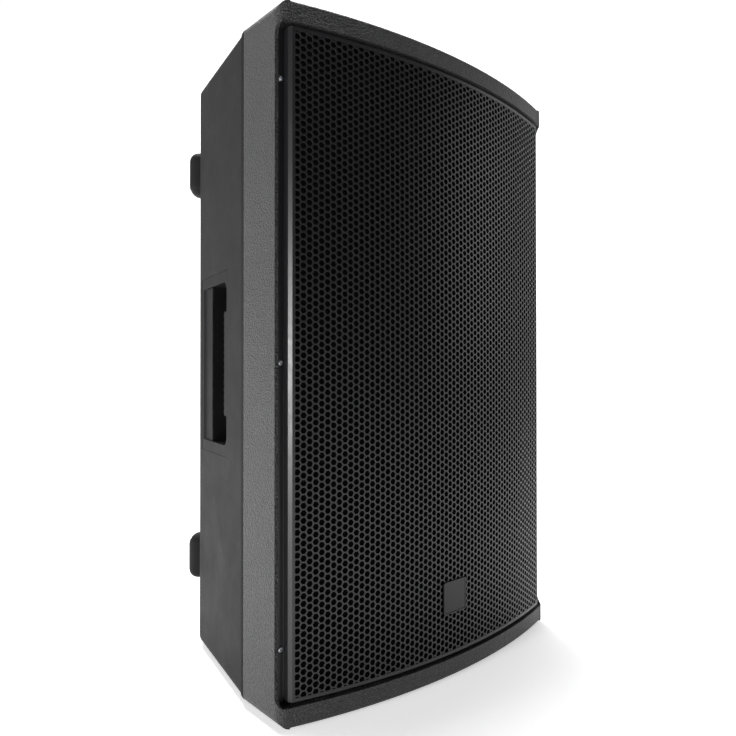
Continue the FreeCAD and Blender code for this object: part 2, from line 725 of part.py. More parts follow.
def woofer_basket():
    """Front rim, eight legs, the ledge for the spider and the seat for the magnet."""
    rim, bore, deep = S.woofer_radius, S.woofer_bore - 1, S.basket_depth
    seat_end = deep + S.seat_thick
    ledge, ledge_r = S.spider_depth + 2, S.spider_outer - 6
    body = turned("WooferBasket", [
        (-S.rim_thick, S.roll_outer - 6), (-S.rim_thick, rim), (0, rim), (0, bore), (4, bore),
        (26, bore - 8),
        (deep, S.magnet_radius + 6), (seat_end, S.magnet_radius + 6), (seat_end, S.coil_radius + 8),
        (deep, S.coil_radius + 8), (deep, S.magnet_radius + 2), (ledge + 3, S.magnet_radius + 13),
        (ledge + 3, ledge_r), (ledge, ledge_r), (ledge, S.magnet_radius + 14), (28, bore - 13),
        (-1, bore - 5),
        (-1, S.roll_outer - 6),
    ])
    sketch = new_sketch(body, "XY_Plane", 0)
    outline(sketch, [(-30, 32), (30, 32), (18, S.spider_depth - 2), (-18, S.spider_depth - 2)])
    window = pocket(body, sketch, S.woofer_radius)
    pattern = body.newObject("PartDesign::PolarPattern", "Windows")
    pattern.Originals = [window]
    axis = [item for item in body.Origin.OriginFeatures if item.Role == "Y_Axis"][0]
    pattern.Axis = (axis, [""])
    pattern.Angle = 360
    pattern.Occurrences = BASKET_LEGS
    body.Tip = pattern
    doc.recompute()
    cut_circles(body, "XZ_Plane", -S.rim_thick - 1, S.rim_thick + 2, 2.4,
                circle_of(WOOFER_BOLTS, S.woofer_bolt_radius, 0))
    return finish(body, "woofer_basket", **woofer_place())


def woofer_rolls():
    """The half-roll surround, glued to the rim and to the cone."""
    inner, outer, thick = S.roll_inner, S.roll_outer, S.paper
    face = -S.rim_thick
    roll = (outer - inner) / 2 * 1.02
    body = turned("WooferSurround", [
        (face, outer + 8), (face - thick, outer + 8), (face - thick, outer),
        (face - thick, inner, roll), (face - thick, inner - 6), (face, inner - 6),
        (face, inner + thick), (face, outer - thick, thick * 1.02 - roll),
    ])
    return finish(body, "woofer_surround", **woofer_place())


def woofer_cone():
    face = -S.rim_thick + 0.1
    coil, inner, t = S.coil_radius, S.roll_inner, S.paper
    body = turned("WooferCone", [
        (face, inner + 1), (face, inner - 5), (S.cone_depth - t, coil + 3.2), (S.cone_depth - t, coil + 1.2),
        (S.cone_depth + t, coil + 1.2), (S.cone_depth + t, coil + 4), (face + 2 * t, inner - 5),
        (face + t, inner + 1),
    ])
    return finish(body, "woofer_cone", **woofer_place())


def dome_radius(edge, rise):
    """The radius of a dome from its edge's radius and its rise."""
    edge, rise = size_of(edge), size_of(rise)
    return (edge * edge + rise * rise) / (2 * rise)


def dust_cap():
    edge, rise, t = S.coil_radius + 10, 18, S.paper
    slope = (S.cone_depth + S.rim_thick) / (S.roll_inner - 5 - S.coil_radius - 3.2)
    seat = S.cone_depth - t - (edge - S.coil_radius - 3.2) * slope - 0.6
    body = turned("DustCap", [
        (seat - rise, 0), (seat, edge, -dome_radius(edge, rise)), (seat, edge - t),
        (seat - rise + t, 0, dome_radius(edge - t, rise - t)),
    ])
    return finish(body, "dust_cap", **woofer_place())


def voice_coil():
    r = S.coil_radius
    start, winding = S.cone_depth - 8, S.basket_depth + S.seat_thick - 3
    body = turned("VoiceCoil", [
        (start, r - 0.6), (start, r), (winding, r), (winding, r + 1.2), (winding + 16, r + 1.2),
        (winding + 16, r - 0.6),
    ])
    return finish(body, "voice_coil", **woofer_place())


def woofer_spider():
    """A disc pressed into rings, glued to the coil's former and to the basket's ledge."""
    depth, t = S.spider_depth, 0.8
    near, far = S.coil_radius + 0.05, S.spider_outer
    waves = 4
    step = (far - near - 10) / (2 * waves)
    front = [(depth, near), (depth, near + 5)]
    back = [(depth + t, near), (depth + t, near + 5)]
    for wave in range(2 * waves):
        crest = -1.8 if wave % 2 == 0 else 0
        radius = near + 5 + step * (wave + 0.5)
        front.append((depth + crest, radius))
        back.append((depth + t + crest, radius))
    front += [(depth + 1, far - 5), (depth + 1, far)]
    back += [(depth + 1 + t, far - 5), (depth + 1 + t, far)]
    body = turned("WooferSpider", front + back[::-1])
    return finish(body, "woofer_spider", **woofer_place())


def woofer_motor():
    start = S.basket_depth + S.seat_thick
    magnet = start + S.plate_thick
    yoke = magnet + S.magnet_thick
    r = S.coil_radius
    plate = ring("TopPlate", start, S.plate_thick, r + 2.4, S.magnet_radius - 8)
    finish(plate, "woofer_top_plate", **woofer_place())
    block = ring("Magnet", magnet, S.magnet_thick, r + 8, S.magnet_radius)
    finish(block, "woofer_magnet", **woofer_place())
    body = turned("Yoke", [
        (start - 2, 12), (start - 2, r - 2), (yoke, r - 2), (yoke, S.magnet_radius - 8),
        (yoke + S.yoke_thick, S.magnet_radius - 8), (yoke + S.yoke_thick, 12),
    ])
    finish(body, "woofer_yoke", **woofer_place())


def woofer_gasket():
    start = -S.rim_thick - 2
    inner = S.roll_outer + 8.4
    body = ring("WooferGasket", start, 2, inner, S.woofer_radius - 1)
    cut_circles(body, "XZ_Plane", start - 1, 4, 2.4, circle_of(WOOFER_BOLTS, S.woofer_bolt_radius, 0))
    finish(body, "woofer_gasket", **woofer_place())


def woofer_screws():
    centres = circle_of(WOOFER_BOLTS, S.woofer_bolt_radius, S.woofer_level)
    seat = BAFFLE - S.rim_thick - 2
    screw_group("woofer_screws", [(x, seat, z) for x, z in centres], 2.1, 22, 4.5, 3)


def woofer_terminals():
    """Two spade tabs on an insulating block at the side of the top plate."""
    body = new_body("WooferTerminals")
    start = S.basket_depth + S.seat_thick
    pad_rectangle(body, "XZ_Plane", start, 6, 0, S.magnet_radius, 24, 8)
    for side in (-1, 1):
        pad_rectangle(body, "XZ_Plane", start + 1, 18, side * 7, S.magnet_radius + 2, 4.8, 0.8)
    finish(body, "woofer_terminals", **woofer_place())


# ---------------------------------------------------------------- horn and compression driver

def horn_screw_centres():
    x = S.horn_width / 2 + S.horn_flange / 2
    z = S.horn_height / 2 + S.horn_flange / 2
    corners = [(side * x, S.horn_level + rise * z) for side in (-1, 1) for rise in (-1, 1)]
    return corners + [(0, S.horn_level + z), (0, S.horn_level - z)]


def horn_section(body, depth, width, height, radius):
    sketch = new_sketch(body, "XZ_Plane", depth)
    rectangle(sketch, 0, 0, width, height, radius)
    return sketch


def horn_flare():
    body = new_body("HornFlare")
    t, gap = S.horn_wall, 0.5
    width, height = S.horn_width - 2 * gap, S.horn_height - 2 * gap
    middle = S.horn_depth * 0.5
    solid = body.newObject("PartDesign::AdditiveLoft", "Outside")
    solid.Profile = horn_section(body, 0, width, height, 12)
    solid.Sections = [horn_section(body, middle, width * 0.36, height * 0.52, 14),
                      horn_section(body, S.horn_depth, S.throat + 2 * t, S.throat + 2 * t, 15.5)]
    doc.recompute()
    pad_rectangle(body, "XZ_Plane", -4, 4, 0, 0, S.horn_width + 2 * S.horn_flange,
                  S.horn_height + 2 * S.horn_flange, 8)
    before = body.Shape.Volume
    hollow = body.newObject("PartDesign::SubtractiveLoft", "Inside")
    hollow.Profile = horn_section(body, -4, width - 2 * t + 2, height - 2 * t + 2, 11)
    hollow.Sections = [horn_section(body, middle, width * 0.36 - 2 * t, height * 0.52 - 2 * t, 11),
                       horn_section(body, S.horn_depth, S.throat, S.throat, 12.5)]
    doc.recompute()
    assert body.Shape.Volume < before - 1000, "the horn's inside cut nothing"
    pad_circles(body, "XZ_Plane", S.horn_depth, 5, S.driver_radius - 8)
    cut_circles(body, "XZ_Plane", S.horn_depth - 1, 7, S.throat / 2)
    cut_circles(body, "XZ_Plane", -5, 6, 1.9, [(x, z - S.horn_level) for x, z in horn_screw_centres()])
    return finish(body, "horn_flare", y=BAFFLE, z=S.horn_level)


def horn_screws():
    screw_group("horn_screws", [(x, BAFFLE - 4, z) for x, z in horn_screw_centres()], 1.7, 16, 3.6, 2.4)


def compression_driver():
    """Front plate, magnet, dome with its voice coil, suspension and rear cap, all on the horn's axis."""
    where = {"y": BAFFLE, "z": S.horn_level}
    r, start = S.driver_radius, S.horn_depth + 5
    finish(ring("DriverPlate", start, 10, S.throat / 2, r - 4), "driver_front_plate", **where)
    finish(ring("DriverMagnet", start + 10, 18, 30, r), "driver_magnet", **where)
    plate = start + 28
    rim = plate + 9.6
    top_plate = turned("DriverTopPlate", [
        (plate, 24.6), (plate, r - 4), (rim, r - 4), (rim, r - 14), (plate + 8, r - 14), (plate + 8, 24.6),
    ])
    finish(top_plate, "driver_top_plate", **where)
    pole = turned("PhasePlug", [
        (start + 10, S.throat / 2), (start + 10, 28), (start + 14, 28), (start + 14, 22.2),
        (plate + 8, 22.2), (plate + 9, 16), (plate + 10.5, S.throat / 2 - 2),
    ])
    finish(pole, "driver_phase_plug", **where)
    coil = plate + 3
    dome = turned("DriverDome", [
        (coil, 23), (coil, 23.6), (plate + 11, 23.6), (plate + 20, 0, -dome_radius(23.6, 9)),
        (plate + 19.6, 0), (plate + 11, 23, dome_radius(23, 8.6)),
    ])
    finish(dome, "driver_dome", **where)
    finish(ring("Suspension", rim, 0.6, 23.75, r - 5), "driver_suspension", **where)
    cap_start = rim + 0.6
    cap = turned("DriverCap", [
        (cap_start, r - 9), (cap_start, r - 4), (plate + 26, r - 4), (plate + 30, r - 8), (plate + 30, 0),
        (plate + 27, 0), (plate + 27, r - 9),
    ])
    finish(cap, "driver_cap", **where)


def port_tubes():
    tubes = []
    for side in (-1, 1):
        r, t, gap = S.port_radius, S.tube_wall, 0.2
        tube = turned("PortTube", [
            (-3, r + 2), (-3, r + S.port_flange + t), (0, r + S.port_flange + t), (0, r + t - gap),
            (S.port_length, r + t - gap), (S.port_length, r), (3, r),
        ])
        tubes.append(place(tube, side * S.port_x, BAFFLE, S.port_level))
    finish(grouped(tubes), "port_tubes")


# ---------------------------------------------------------------- pole socket

def pole_screw_centres():
    reach = (S.pole_radius + S.pole_wall + S.pole_flange) / 2
    steps = [math.pi * (i + 0.5) / 2 for i in range(4)]
    return [(reach * math.cos(a), behind(S.pole_depth) + reach * math.sin(a)) for a in steps]


def pole_socket():
    body = new_body("PoleSocket")
    r, t = S.pole_radius, S.pole_wall
    pad_circles(body, "XY_Plane", S.wall, 4, S.pole_flange)
    pad_circles(body, "XY_Plane", 0.5, S.pole_length + t, r + t - 0.05)
    cut_circles(body, "XY_Plane", -1, S.pole_length + 1.5, r)
    centre = behind(S.pole_depth)
    cut_circles(body, "XY_Plane", S.wall - 1, 6, 1.6, [(x, y - centre) for x, y in pole_screw_centres()])
    return finish(body, "pole_socket", y=centre, z=BASE)


def pole_socket_screws():
    screws = []
    for x, y in pole_screw_centres():
        head = doc.addObject("Part::Cylinder", "Head")
        shank = doc.addObject("Part::Cylinder", "Shank")
        bind(head, "Radius", 3.4)
        bind(head, "Height", 1.8)
        bind(shank, "Radius", 1.5)
        bind(shank, "Height", 11)
        place(head, x, y, BASE - 1.8)
        place(shank, x, y, BASE - 0.5)
        screw = doc.addObject("Part::Fuse", "Screw")
        screw.Base = head
        screw.Tool = shank
        screws.append(screw)
    finish(grouped(screws), "pole_socket_screws")


# ---------------------------------------------------------------- amplifier

def panel_screw_centres():
    x = S.tray_width / 2 - S.tray_ledge / 2
    z = S.tray_height / 2 - S.tray_ledge / 2
    return [(side * x, S.tray_level + rise * z) for side in (-1, 1) for rise in (-1, -0.34, 0.34, 1)]


def jack_centres():
    return [(S.jack_pitch * step, S.jack_level) for step in (-1, 0, 1)]


def knob_centres():
    return [(S.knob_pitch * column, S.knob_level) for column in KNOB_COLUMNS]


def button_centres():
    return [(side * S.knob_pitch, S.button_level) for side in (-1, 1)]


def lamp_centres():
    return [(step * S.knob_pitch / 3, S.button_level) for step in (-1, 0, 1)]


def amp_panel():
    body = new_body("AmpPanel")
    gap = S.panel_gap
    pad_rectangle(body, "XZ_Plane", PANEL_BACK, S.panel_thick, 0, S.tray_level, S.tray_width - 2 * gap,
                  S.tray_height - 2 * gap, 3.5)
    start, through = PANEL_BACK - 1, S.panel_thick + 2
    cut_circles(body, "XZ_Plane", start, through, 1.8, panel_screw_centres())
    cut_circles(body, "XZ_Plane", start, through, S.jack_radius, jack_centres())
    cut_circles(body, "XZ_Plane", start, through, S.shaft_radius + 1, knob_centres())
    cut_circles(body, "XZ_Plane", start, through, S.lamp_radius, lamp_centres())
    for x, z in button_centres():
        side = S.button_side + 2 * S.running_gap
        cut_rectangle(body, "XZ_Plane", start, through, x, z, side, side)
    cut_rectangle(body, "XZ_Plane", start, through, -S.inlet_x, S.mains_level, S.inlet_width,
                  S.inlet_height, 2)
    cut_rectangle(body, "XZ_Plane", start, through, S.inlet_x, S.mains_level, S.switch_width,
                  S.switch_height)
    return finish(body, "amp_panel")


def heat_sink():
    """Finned extrusion on the outside of the panel."""
    body = new_body("HeatSink")
    low = S.sink_level - S.sink_height / 2
    pad_rectangle(body, "XZ_Plane", PANEL_FACE, S.sink_base, 0, S.sink_level, S.sink_width, S.sink_height)
    first = -S.fin_pitch * (FIN_COUNT - 1) / 2
    fin_start = PANEL_FACE + S.sink_base - 0.5
    sketch = new_sketch(body, "XY_Plane", low)
    rectangle(sketch, first, fin_start + S.fin_height / 2, S.fin_thick, S.fin_height)
    fin = pad(body, sketch, S.sink_height)
    pattern = body.newObject("PartDesign::LinearPattern", "Fins")
    pattern.Originals = [fin]
    pattern.Direction = (sketch, ["H_Axis"])
    bind(pattern, "Length", S.fin_pitch * (FIN_COUNT - 1))
    pattern.Occurrences = FIN_COUNT
    body.Tip = pattern
    doc.recompute()
    return finish(body, "heat_sink")


def panel_screws():
    screw_group("panel_screws", [(x, PANEL_FACE, z) for x, z in panel_screw_centres()], 1.1, 7, 3.2, 2, 1)


def jacks():
    """Round sockets with a square flange, open to the back of the cabinet, each with three contacts."""
    sockets = []
    pins = []
    for x, z in jack_centres():
        body = new_body("Jack")
        length = S.jack_length
        pad_circles(body, "XZ_Plane", PANEL_FACE - length, length, S.jack_radius - 0.1)
        pad_rectangle(body, "XZ_Plane", PANEL_FACE, 2.2, 0, 0, 27, 31, 2.5)
        cut_circles(body, "XZ_Plane", PANEL_FACE - 14, 18, S.jack_bore)
        sockets.append(place(body, x, 0, z))
        pins += [(x + px, PANEL_FACE - 14, z + pz) for px, pz in circle_of(3, 4.2, 0, 0.75)]
    finish(sockets.pop(), "link_jack")
    finish(grouped(sockets), "input_jacks")
    cylinder_group("jack_contacts", pins, 1.1, 10, (1, 0, 0), -90)


def knobs():
    """Control knobs, each with its shaft running into a potentiometer."""
    for (x, z), label in zip(knob_centres(), KNOB_NAMES):
        gap = 0.8
        body = turned("Knob", [
            (-8, 0), (-8, S.shaft_radius), (gap, S.shaft_radius), (gap, S.knob_radius),
            (S.knob_length - 1, S.knob_radius - 1),
            (S.knob_length, S.knob_radius - 2), (S.knob_length, 0),
        ])
        finish(body, label, x=x, y=PANEL_FACE, z=z)


def potentiometers():
    pots = []
    for x, z in knob_centres():
        body = new_body("Potentiometer")
        pad_rectangle(body, "XZ_Plane", -8, 8 - S.panel_thick, 0, 0, 12, 12, 1)
        cut_circles(body, "XZ_Plane", -9, 10, S.shaft_radius + S.shaft_clear)
        pots.append(place(body, x, PANEL_FACE, z))
    finish(grouped(pots), "potentiometers")


def buttons():
    for (x, z), label in zip(button_centres(), BUTTON_NAMES):
        body = new_body("Button")
        pad_rectangle(body, "XZ_Plane", -9, 9 + S.button_proud, 0, 0, S.button_side, S.button_side)
        finish(body, label, x=x, y=PANEL_FACE, z=z)


def status_lamps():
    centres = [(x, PANEL_BACK - 3, z) for x, z in lamp_centres()]
    cylinder_group("status_lamps", centres, S.lamp_radius, S.panel_thick + 4.5, (1, 0, 0), -90)


def mains_inlet():
    body = new_body("MainsInlet")
    x, z = -S.inlet_x, S.mains_level
    width, height, length = S.inlet_width, S.inlet_height, S.inlet_length
    pad_rectangle(body, "XZ_Plane", PANEL_FACE - length, length, x, z, width - 0.2, height - 0.2, 1.9)
    pad_rectangle(body, "XZ_Plane", PANEL_FACE, 2.5, x, z, width + 16, height + 6, 4)
    cut_rectangle(body, "XZ_Plane", PANEL_FACE - 16, 20, x, z, width - 4, height - 4, 2)
    finish(body, "mains_inlet")
    pins = []
    for across, up in ((-7, 0), (0, 2), (7, 0)):
        pin = doc.addObject("Part::Box", "Pin")
        bind(pin, "Length", 2)
        bind(pin, "Width", 14)
        bind(pin, "Height", 4)
        pins.append(place(pin, x + across - 1, PANEL_FACE - 16, z + up - 2))
    finish(grouped(pins), "mains_pins")


def power_switch():
    """Housing and rocker; the rocker turns on a pin across the housing."""
    x, z = S.inlet_x, S.mains_level
    width, height = S.switch_width, S.switch_height
    body = new_body("SwitchHousing")
    pad_rectangle(body, "XZ_Plane", PANEL_FACE - 18, 18, x, z, width - 0.2, height - 0.2)
    pad_rectangle(body, "XZ_Plane", PANEL_FACE, 2, x, z, width + 4, height + 4, 1.5)
    cut_rectangle(body, "XZ_Plane", PANEL_FACE - 14, 18, x, z, width - 3, height - 3)
    finish(body, "switch_housing")
    rocker = new_body("Rocker")
    half = height / 2 - 1.5 - 1.6
    sketch = new_sketch(rocker, "YZ_Plane", x - (width - 3) / 2 + S.running_gap)
    outline(sketch, [(-8, -3), (0, -half), (3.4, -half), (1.6, 0), (5, half), (0, half), (-8, 3)])
    pad(rocker, sketch, width - 3 - 2 * S.running_gap)
    finish(rocker, "power_rocker", y=PANEL_FACE, z=z)


def electronics():
    """Amplifier board on pillars, with its transformer and reservoir capacitors."""
    board_back = PANEL_BACK - S.board_gap
    board = new_body("AmpBoard")
    pad_rectangle(board, "XZ_Plane", board_back - S.board_thick, S.board_thick, 0, S.tray_level, S.board_width,
                  S.board_height)
    pillars = [(side * 68, S.tray_level + rise * 178) for side in (-1, 1) for rise in (-1, 0, 1)]
    finish(board, "amp_board")
    seats = [(x, board_back, z) for x, z in pillars]
    cylinder_group("board_pillars", seats, 3.5, S.board_gap, (1, 0, 0), -90)
    face = board_back - S.board_thick
    coil = new_body("Transformer")
    pad_rectangle(coil, "XZ_Plane", face - 44, 44, 20, 230, 62, 72, 6)
    finish(coil, "transformer")
    tops = [(-44, face, 200 + 40 * i) for i in range(3)]
    cylinder_group("reservoir_capacitors", tops, 15, 46, (1, 0, 0), 90)
    chips = new_body("PowerStage")
    pad_rectangle(chips, "XZ_Plane", board_back, S.board_gap, 0, S.sink_level, 90, 60, 2)
    finish(chips, "power_stage")


def build():
    front = front_frame()
    foot_recesses(front)
    rear_shell()
    seam_gasket()
    frame_screws()
    base_feet()
    rear_bumps()
    side_handle(-1, "side_handle_left")
    side_handle(1, "side_handle_right")
    grille()
    grille_foam()
    grille_screws()
    badge()
    woofer_basket()
    woofer_gasket()
    woofer_rolls()
    woofer_cone()
    dust_cap()
    voice_coil()
    woofer_spider()
    woofer_motor()
    woofer_screws()
    woofer_terminals()
    horn_flare()
    horn_screws()
    compression_driver()
    port_tubes()
    pole_socket()
    pole_socket_screws()
    amp_panel()
    heat_sink()
    panel_screws()
    jacks()
    knobs()
    potentiometers()
    buttons()
    status_lamps()
    mains_inlet()
    power_switch()
    electronics()


def check():
    doc.recompute()
    for obj in doc.Objects:
        assert not {"Invalid", "Error"} & set(obj.State), f"{obj.Name} ({obj.Label}) failed: {obj.State}"
    for part in parts:
        assert not part.Shape.isNull() and part.Shape.isValid(), f"{part.Label} has no valid shape"


def write():
    os.makedirs("parts", exist_ok=True)
    for part in parts:
        part.Shape.exportStep(f"parts/{part.Label}.step")
        print(part.Label, len(part.Shape.Solids), round(part.Shape.Volume))


build()
check()
write()
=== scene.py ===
"""Looks for an active loudspeaker cabinet: moulded shell, bowed perforated grille and amplifier panel."""
import json
import math
import bmesh
import bpy
from mathutils import Matrix, Vector


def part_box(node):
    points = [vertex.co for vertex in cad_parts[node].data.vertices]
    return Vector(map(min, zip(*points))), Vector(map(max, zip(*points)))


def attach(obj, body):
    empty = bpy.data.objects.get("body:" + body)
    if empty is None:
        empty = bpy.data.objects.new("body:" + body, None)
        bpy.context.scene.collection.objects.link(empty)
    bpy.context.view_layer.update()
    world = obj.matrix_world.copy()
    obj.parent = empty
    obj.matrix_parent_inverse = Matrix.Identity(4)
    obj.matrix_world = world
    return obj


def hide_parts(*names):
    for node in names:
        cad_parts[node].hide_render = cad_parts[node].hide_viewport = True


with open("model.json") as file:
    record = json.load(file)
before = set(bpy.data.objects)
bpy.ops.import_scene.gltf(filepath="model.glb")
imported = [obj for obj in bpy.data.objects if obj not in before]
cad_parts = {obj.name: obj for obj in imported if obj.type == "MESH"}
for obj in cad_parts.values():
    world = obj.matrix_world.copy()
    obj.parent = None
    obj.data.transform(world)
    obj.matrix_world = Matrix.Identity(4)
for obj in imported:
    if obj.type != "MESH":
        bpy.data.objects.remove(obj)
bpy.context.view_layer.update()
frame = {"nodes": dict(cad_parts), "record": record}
MM = 0.001


# ---------------------------------------------------------------- shader helpers

def colour(code):
    """Linear colour from an sRGB hex code."""
    channels = [int(code[i:i + 2], 16) / 255 for i in (1, 3, 5)]
    return [c / 12.92 if c <= 0.04045 else ((c + 0.055) / 1.055) ** 2.4 for c in channels] + [1.0]


def add(tree, kind, settings=None, **links):
    """Adds a node; keyword links name input sockets and give values or other nodes' outputs."""
    node = tree.nodes.new(kind)
    for name, value in (settings or {}).items():
        setattr(node, name, value)
    for name, value in links.items():
        key = int(name[1:]) if name[0] == "_" else name.replace("_", " ")
        socket = node.inputs[key]
        if isinstance(value, bpy.types.NodeSocket):
            tree.links.new(value, socket)
        else:
            socket.default_value = value
    return node


def start_material(name, base, roughness, **extra):
    """A new material with its node tree, its shader and its object coordinates in metres."""
    material = bpy.data.materials.new(name)
    material.use_nodes = True
    tree = material.node_tree
    tree.nodes.clear()
    shader = add(tree, "ShaderNodeBsdfPrincipled", Base_Color=colour(base), Roughness=roughness, **extra)
    output = add(tree, "ShaderNodeOutputMaterial")
    tree.links.new(shader.outputs["BSDF"], output.inputs["Surface"])
    place = add(tree, "ShaderNodeTexCoord").outputs["Object"]
    return material, tree, shader, place


def noise(tree, place, size_mm, detail=2.0, roughness=0.5):
    """Noise whose features are about size_mm across, from 0 to 1."""
    return add(tree, "ShaderNodeTexNoise", Vector=place, Scale=1000 / size_mm, Detail=detail,
               Roughness=roughness).outputs["Fac"]


def cells(tree, place, size_mm, feature="F1"):
    """Distance inside cells that are about size_mm across."""
    return add(tree, "ShaderNodeTexVoronoi", {"feature": feature}, Vector=place,
               Scale=1000 / size_mm).outputs["Distance"]


def waves(tree, place, pitch_mm, settings, distortion=0.0):
    """Bands or rings about pitch_mm apart, from 0 to 1, at the nearest whole scale."""
    return add(tree, "ShaderNodeTexWave", settings, Vector=place, Scale=round(math.pi / (10 * pitch_mm * MM)),
               Distortion=distortion).outputs["Fac"]


def spread(tree, value, low, high, start=0.0, end=1.0):
    """Remaps a value from start..end to low..high."""
    node = add(tree, "ShaderNodeMapRange", Value=value)
    for socket, number in zip(("From Min", "From Max", "To Min", "To Max"), (start, end, low, high)):
        node.inputs[socket].default_value = number
    return node.outputs["Result"]


def blend(tree, factor, first, second):
    """Mixes two hex colours or colour sockets."""
    node = add(tree, "ShaderNodeMix", {"data_type": "RGBA"})
    tree.links.new(factor, node.inputs["Factor"])
    for name, value in (("A", first), ("B", second)):
        socket = [s for s in node.inputs if s.name == name and s.type == "RGBA"][0]
        if isinstance(value, str):
            socket.default_value = colour(value)
        else:
            tree.links.new(value, socket)
    return [s for s in node.outputs if s.type == "RGBA"][0]


def bump(tree, shader, height, depth_mm, below=None):
    """Raises the surface by height times depth_mm, on top of an earlier bump."""
    node = add(tree, "ShaderNodeBump", Height=height, Distance=depth_mm * MM, Strength=1.0)
    if below:
        tree.links.new(below.outputs["Normal"], node.inputs["Normal"])
    tree.links.new(node.outputs["Normal"], shader.inputs["Normal"])
    return node


def feed(tree, shader, socket, value):
    """Drives one of the shader's inputs with a pattern."""
    tree.links.new(value, shader.inputs[socket])


def rubbed(tree, place, colours, reach_mm, pale):
    """Pales a colour where handling has rubbed the edges, in patches about 12 mm long."""
    soft = add(tree, "ShaderNodeBevel", {"samples": 4}, Radius=reach_mm * MM).outputs["Normal"]
    true = add(tree, "ShaderNodeNewGeometry").outputs["Normal"]
    match = add(tree, "ShaderNodeVectorMath", {"operation": "DOT_PRODUCT"}, _0=soft, _1=true).outputs["Value"]
    edge = spread(tree, match, 1.0, 0.0, 0.8, 0.99)
    patches = spread(tree, noise(tree, place, 12, 4.0, 0.7), 0.0, 1.0, 0.4, 0.65)
    factor = add(tree, "ShaderNodeMath", {"operation": "MULTIPLY"}, _0=edge, _1=patches).outputs[0]
    return blend(tree, factor, colours, pale)


# ---------------------------------------------------------------- materials

def grained_polypropylene():
    """Polypropylene from an etched mould: leather-like pebbles catch many small lights, and the raised grain
    is also painted pale grey as painted glints.

    The real grain is about 1 mm across; it is drawn a little coarser, so that it shows.
    """
    material, tree, shader, place = start_material("grained_polypropylene", "#1a1a1b", 0.5, IOR=1.49)
    pebbles = spread(tree, cells(tree, place, 1.7, "SMOOTH_F1"), 1.0, 0.0, 0.1, 0.6)
    pits = noise(tree, place, 1.3, 3.0, 0.65)
    first = bump(tree, shader, pebbles, 0.9)
    bump(tree, shader, pits, 0.9, first)
    feed(tree, shader, "Roughness", spread(tree, pits, 0.36, 0.54, 0.3, 0.7))
    scuffs = noise(tree, place, 60, 4.0, 0.65)
    tone = blend(tree, spread(tree, scuffs, 0, 1, 0.45, 0.75), "#151516", "#1c1c1d")
    # Painted glints: the raised grain is painted pale grey (#474748), standing in for the small highlights on
    # its pebbles.
    tone = blend(tree, spread(tree, pits, 0.0, 1.0, 0.48, 0.68), tone, "#474748")
    feed(tree, shader, "Base Color", rubbed(tree, place, tone, 1.2, "#3c3c3d"))
    return material


def satin_polypropylene(name="satin_polypropylene", base="#171718", warm="#1d1d1e"):
    """Smooth moulded PP with a faint orange peel and dull handling marks."""
    material, tree, shader, place = start_material(name, base, 0.6, IOR=1.49, Specular_IOR_Level=0.1)
    peel = noise(tree, place, 1.6, 2.0)
    bump(tree, shader, peel, 0.05)
    marks = noise(tree, place, 45, 5.0, 0.7)
    feed(tree, shader, "Roughness", spread(tree, marks, 0.54, 0.68, 0.3, 0.7))
    tone = blend(tree, spread(tree, marks, 0, 1, 0.4, 0.8), base, warm)
    feed(tree, shader, "Base Color", rubbed(tree, place, tone, 0.8, "#343435"))
    return material


def powder_coated_steel():
    """Polyester powder baked on steel: black, slightly pebbled by the flow of the melt."""
    material, tree, shader, place = start_material("powder_coated_steel", "#141416", 0.34, IOR=1.5)
    flow = noise(tree, place, 0.8, 2.0)
    rolled = add(tree, "ShaderNodeBevel", {"samples": 4}, Radius=0.45 * MM)
    bump(tree, shader, flow, 0.04, rolled)
    feed(tree, shader, "Roughness", spread(tree, noise(tree, place, 8), 0.30, 0.42))
    return material


def reticulated_foam():
    """Open-cell polyether foam, dyed black, with painted shade darkening the middle of each cell, where light
    sinks into it.
    """
    material, tree, shader, place = start_material("reticulated_foam", "#040404", 0.95,
                                                   Specular_IOR_Level=0.04)
    pores = cells(tree, place, 0.9)
    bump(tree, shader, pores, 0.5)
    # Painted shade: each cell is darker towards its middle, where the pore sinks in.
    tone = blend(tree, spread(tree, pores, 0, 1, 0.1, 0.6), "#010101", "#060606")
    feed(tree, shader, "Base Color", tone)
    return material


def nitrile_rubber():
    """Moulded rubber: matt, with dust in its pores."""
    material, tree, shader, place = start_material("nitrile_rubber", "#131313", 0.8, IOR=1.52)
    dust = noise(tree, place, 6, 5.0, 0.7)
    bump(tree, shader, noise(tree, place, 0.5), 0.06)
    tone = blend(tree, spread(tree, dust, 0, 1, 0.5, 0.8), "#111111", "#232221")
    feed(tree, shader, "Base Color", tone)
    return material


def zinc_plated_steel(name="zinc_plated_steel", base="#b9bcc0", grey="#8f9296"):
    """Bright zinc on a cold-headed screw: metallic, with tumbling marks."""
    material, tree, shader, place = start_material(name, base, 0.28, Metallic=1.0)
    tumbled = noise(tree, place, 0.6, 3.0)
    bump(tree, shader, tumbled, 0.02)
    tone = blend(tree, spread(tree, tumbled, 0, 1, 0.4, 0.7), base, grey)
    feed(tree, shader, "Base Color", tone)
    feed(tree, shader, "Roughness", spread(tree, tumbled, 0.2, 0.4))
    return material


def black_oxide_steel():
    """Blackened screw steel, slightly oily."""
    material, tree, shader, place = start_material("black_oxide_steel", "#1a1a1c", 0.38, Metallic=1.0)
    film = noise(tree, place, 1.2, 3.0)
    feed(tree, shader, "Roughness", spread(tree, film, 0.3, 0.5))
    bump(tree, shader, film, 0.02)
    return material


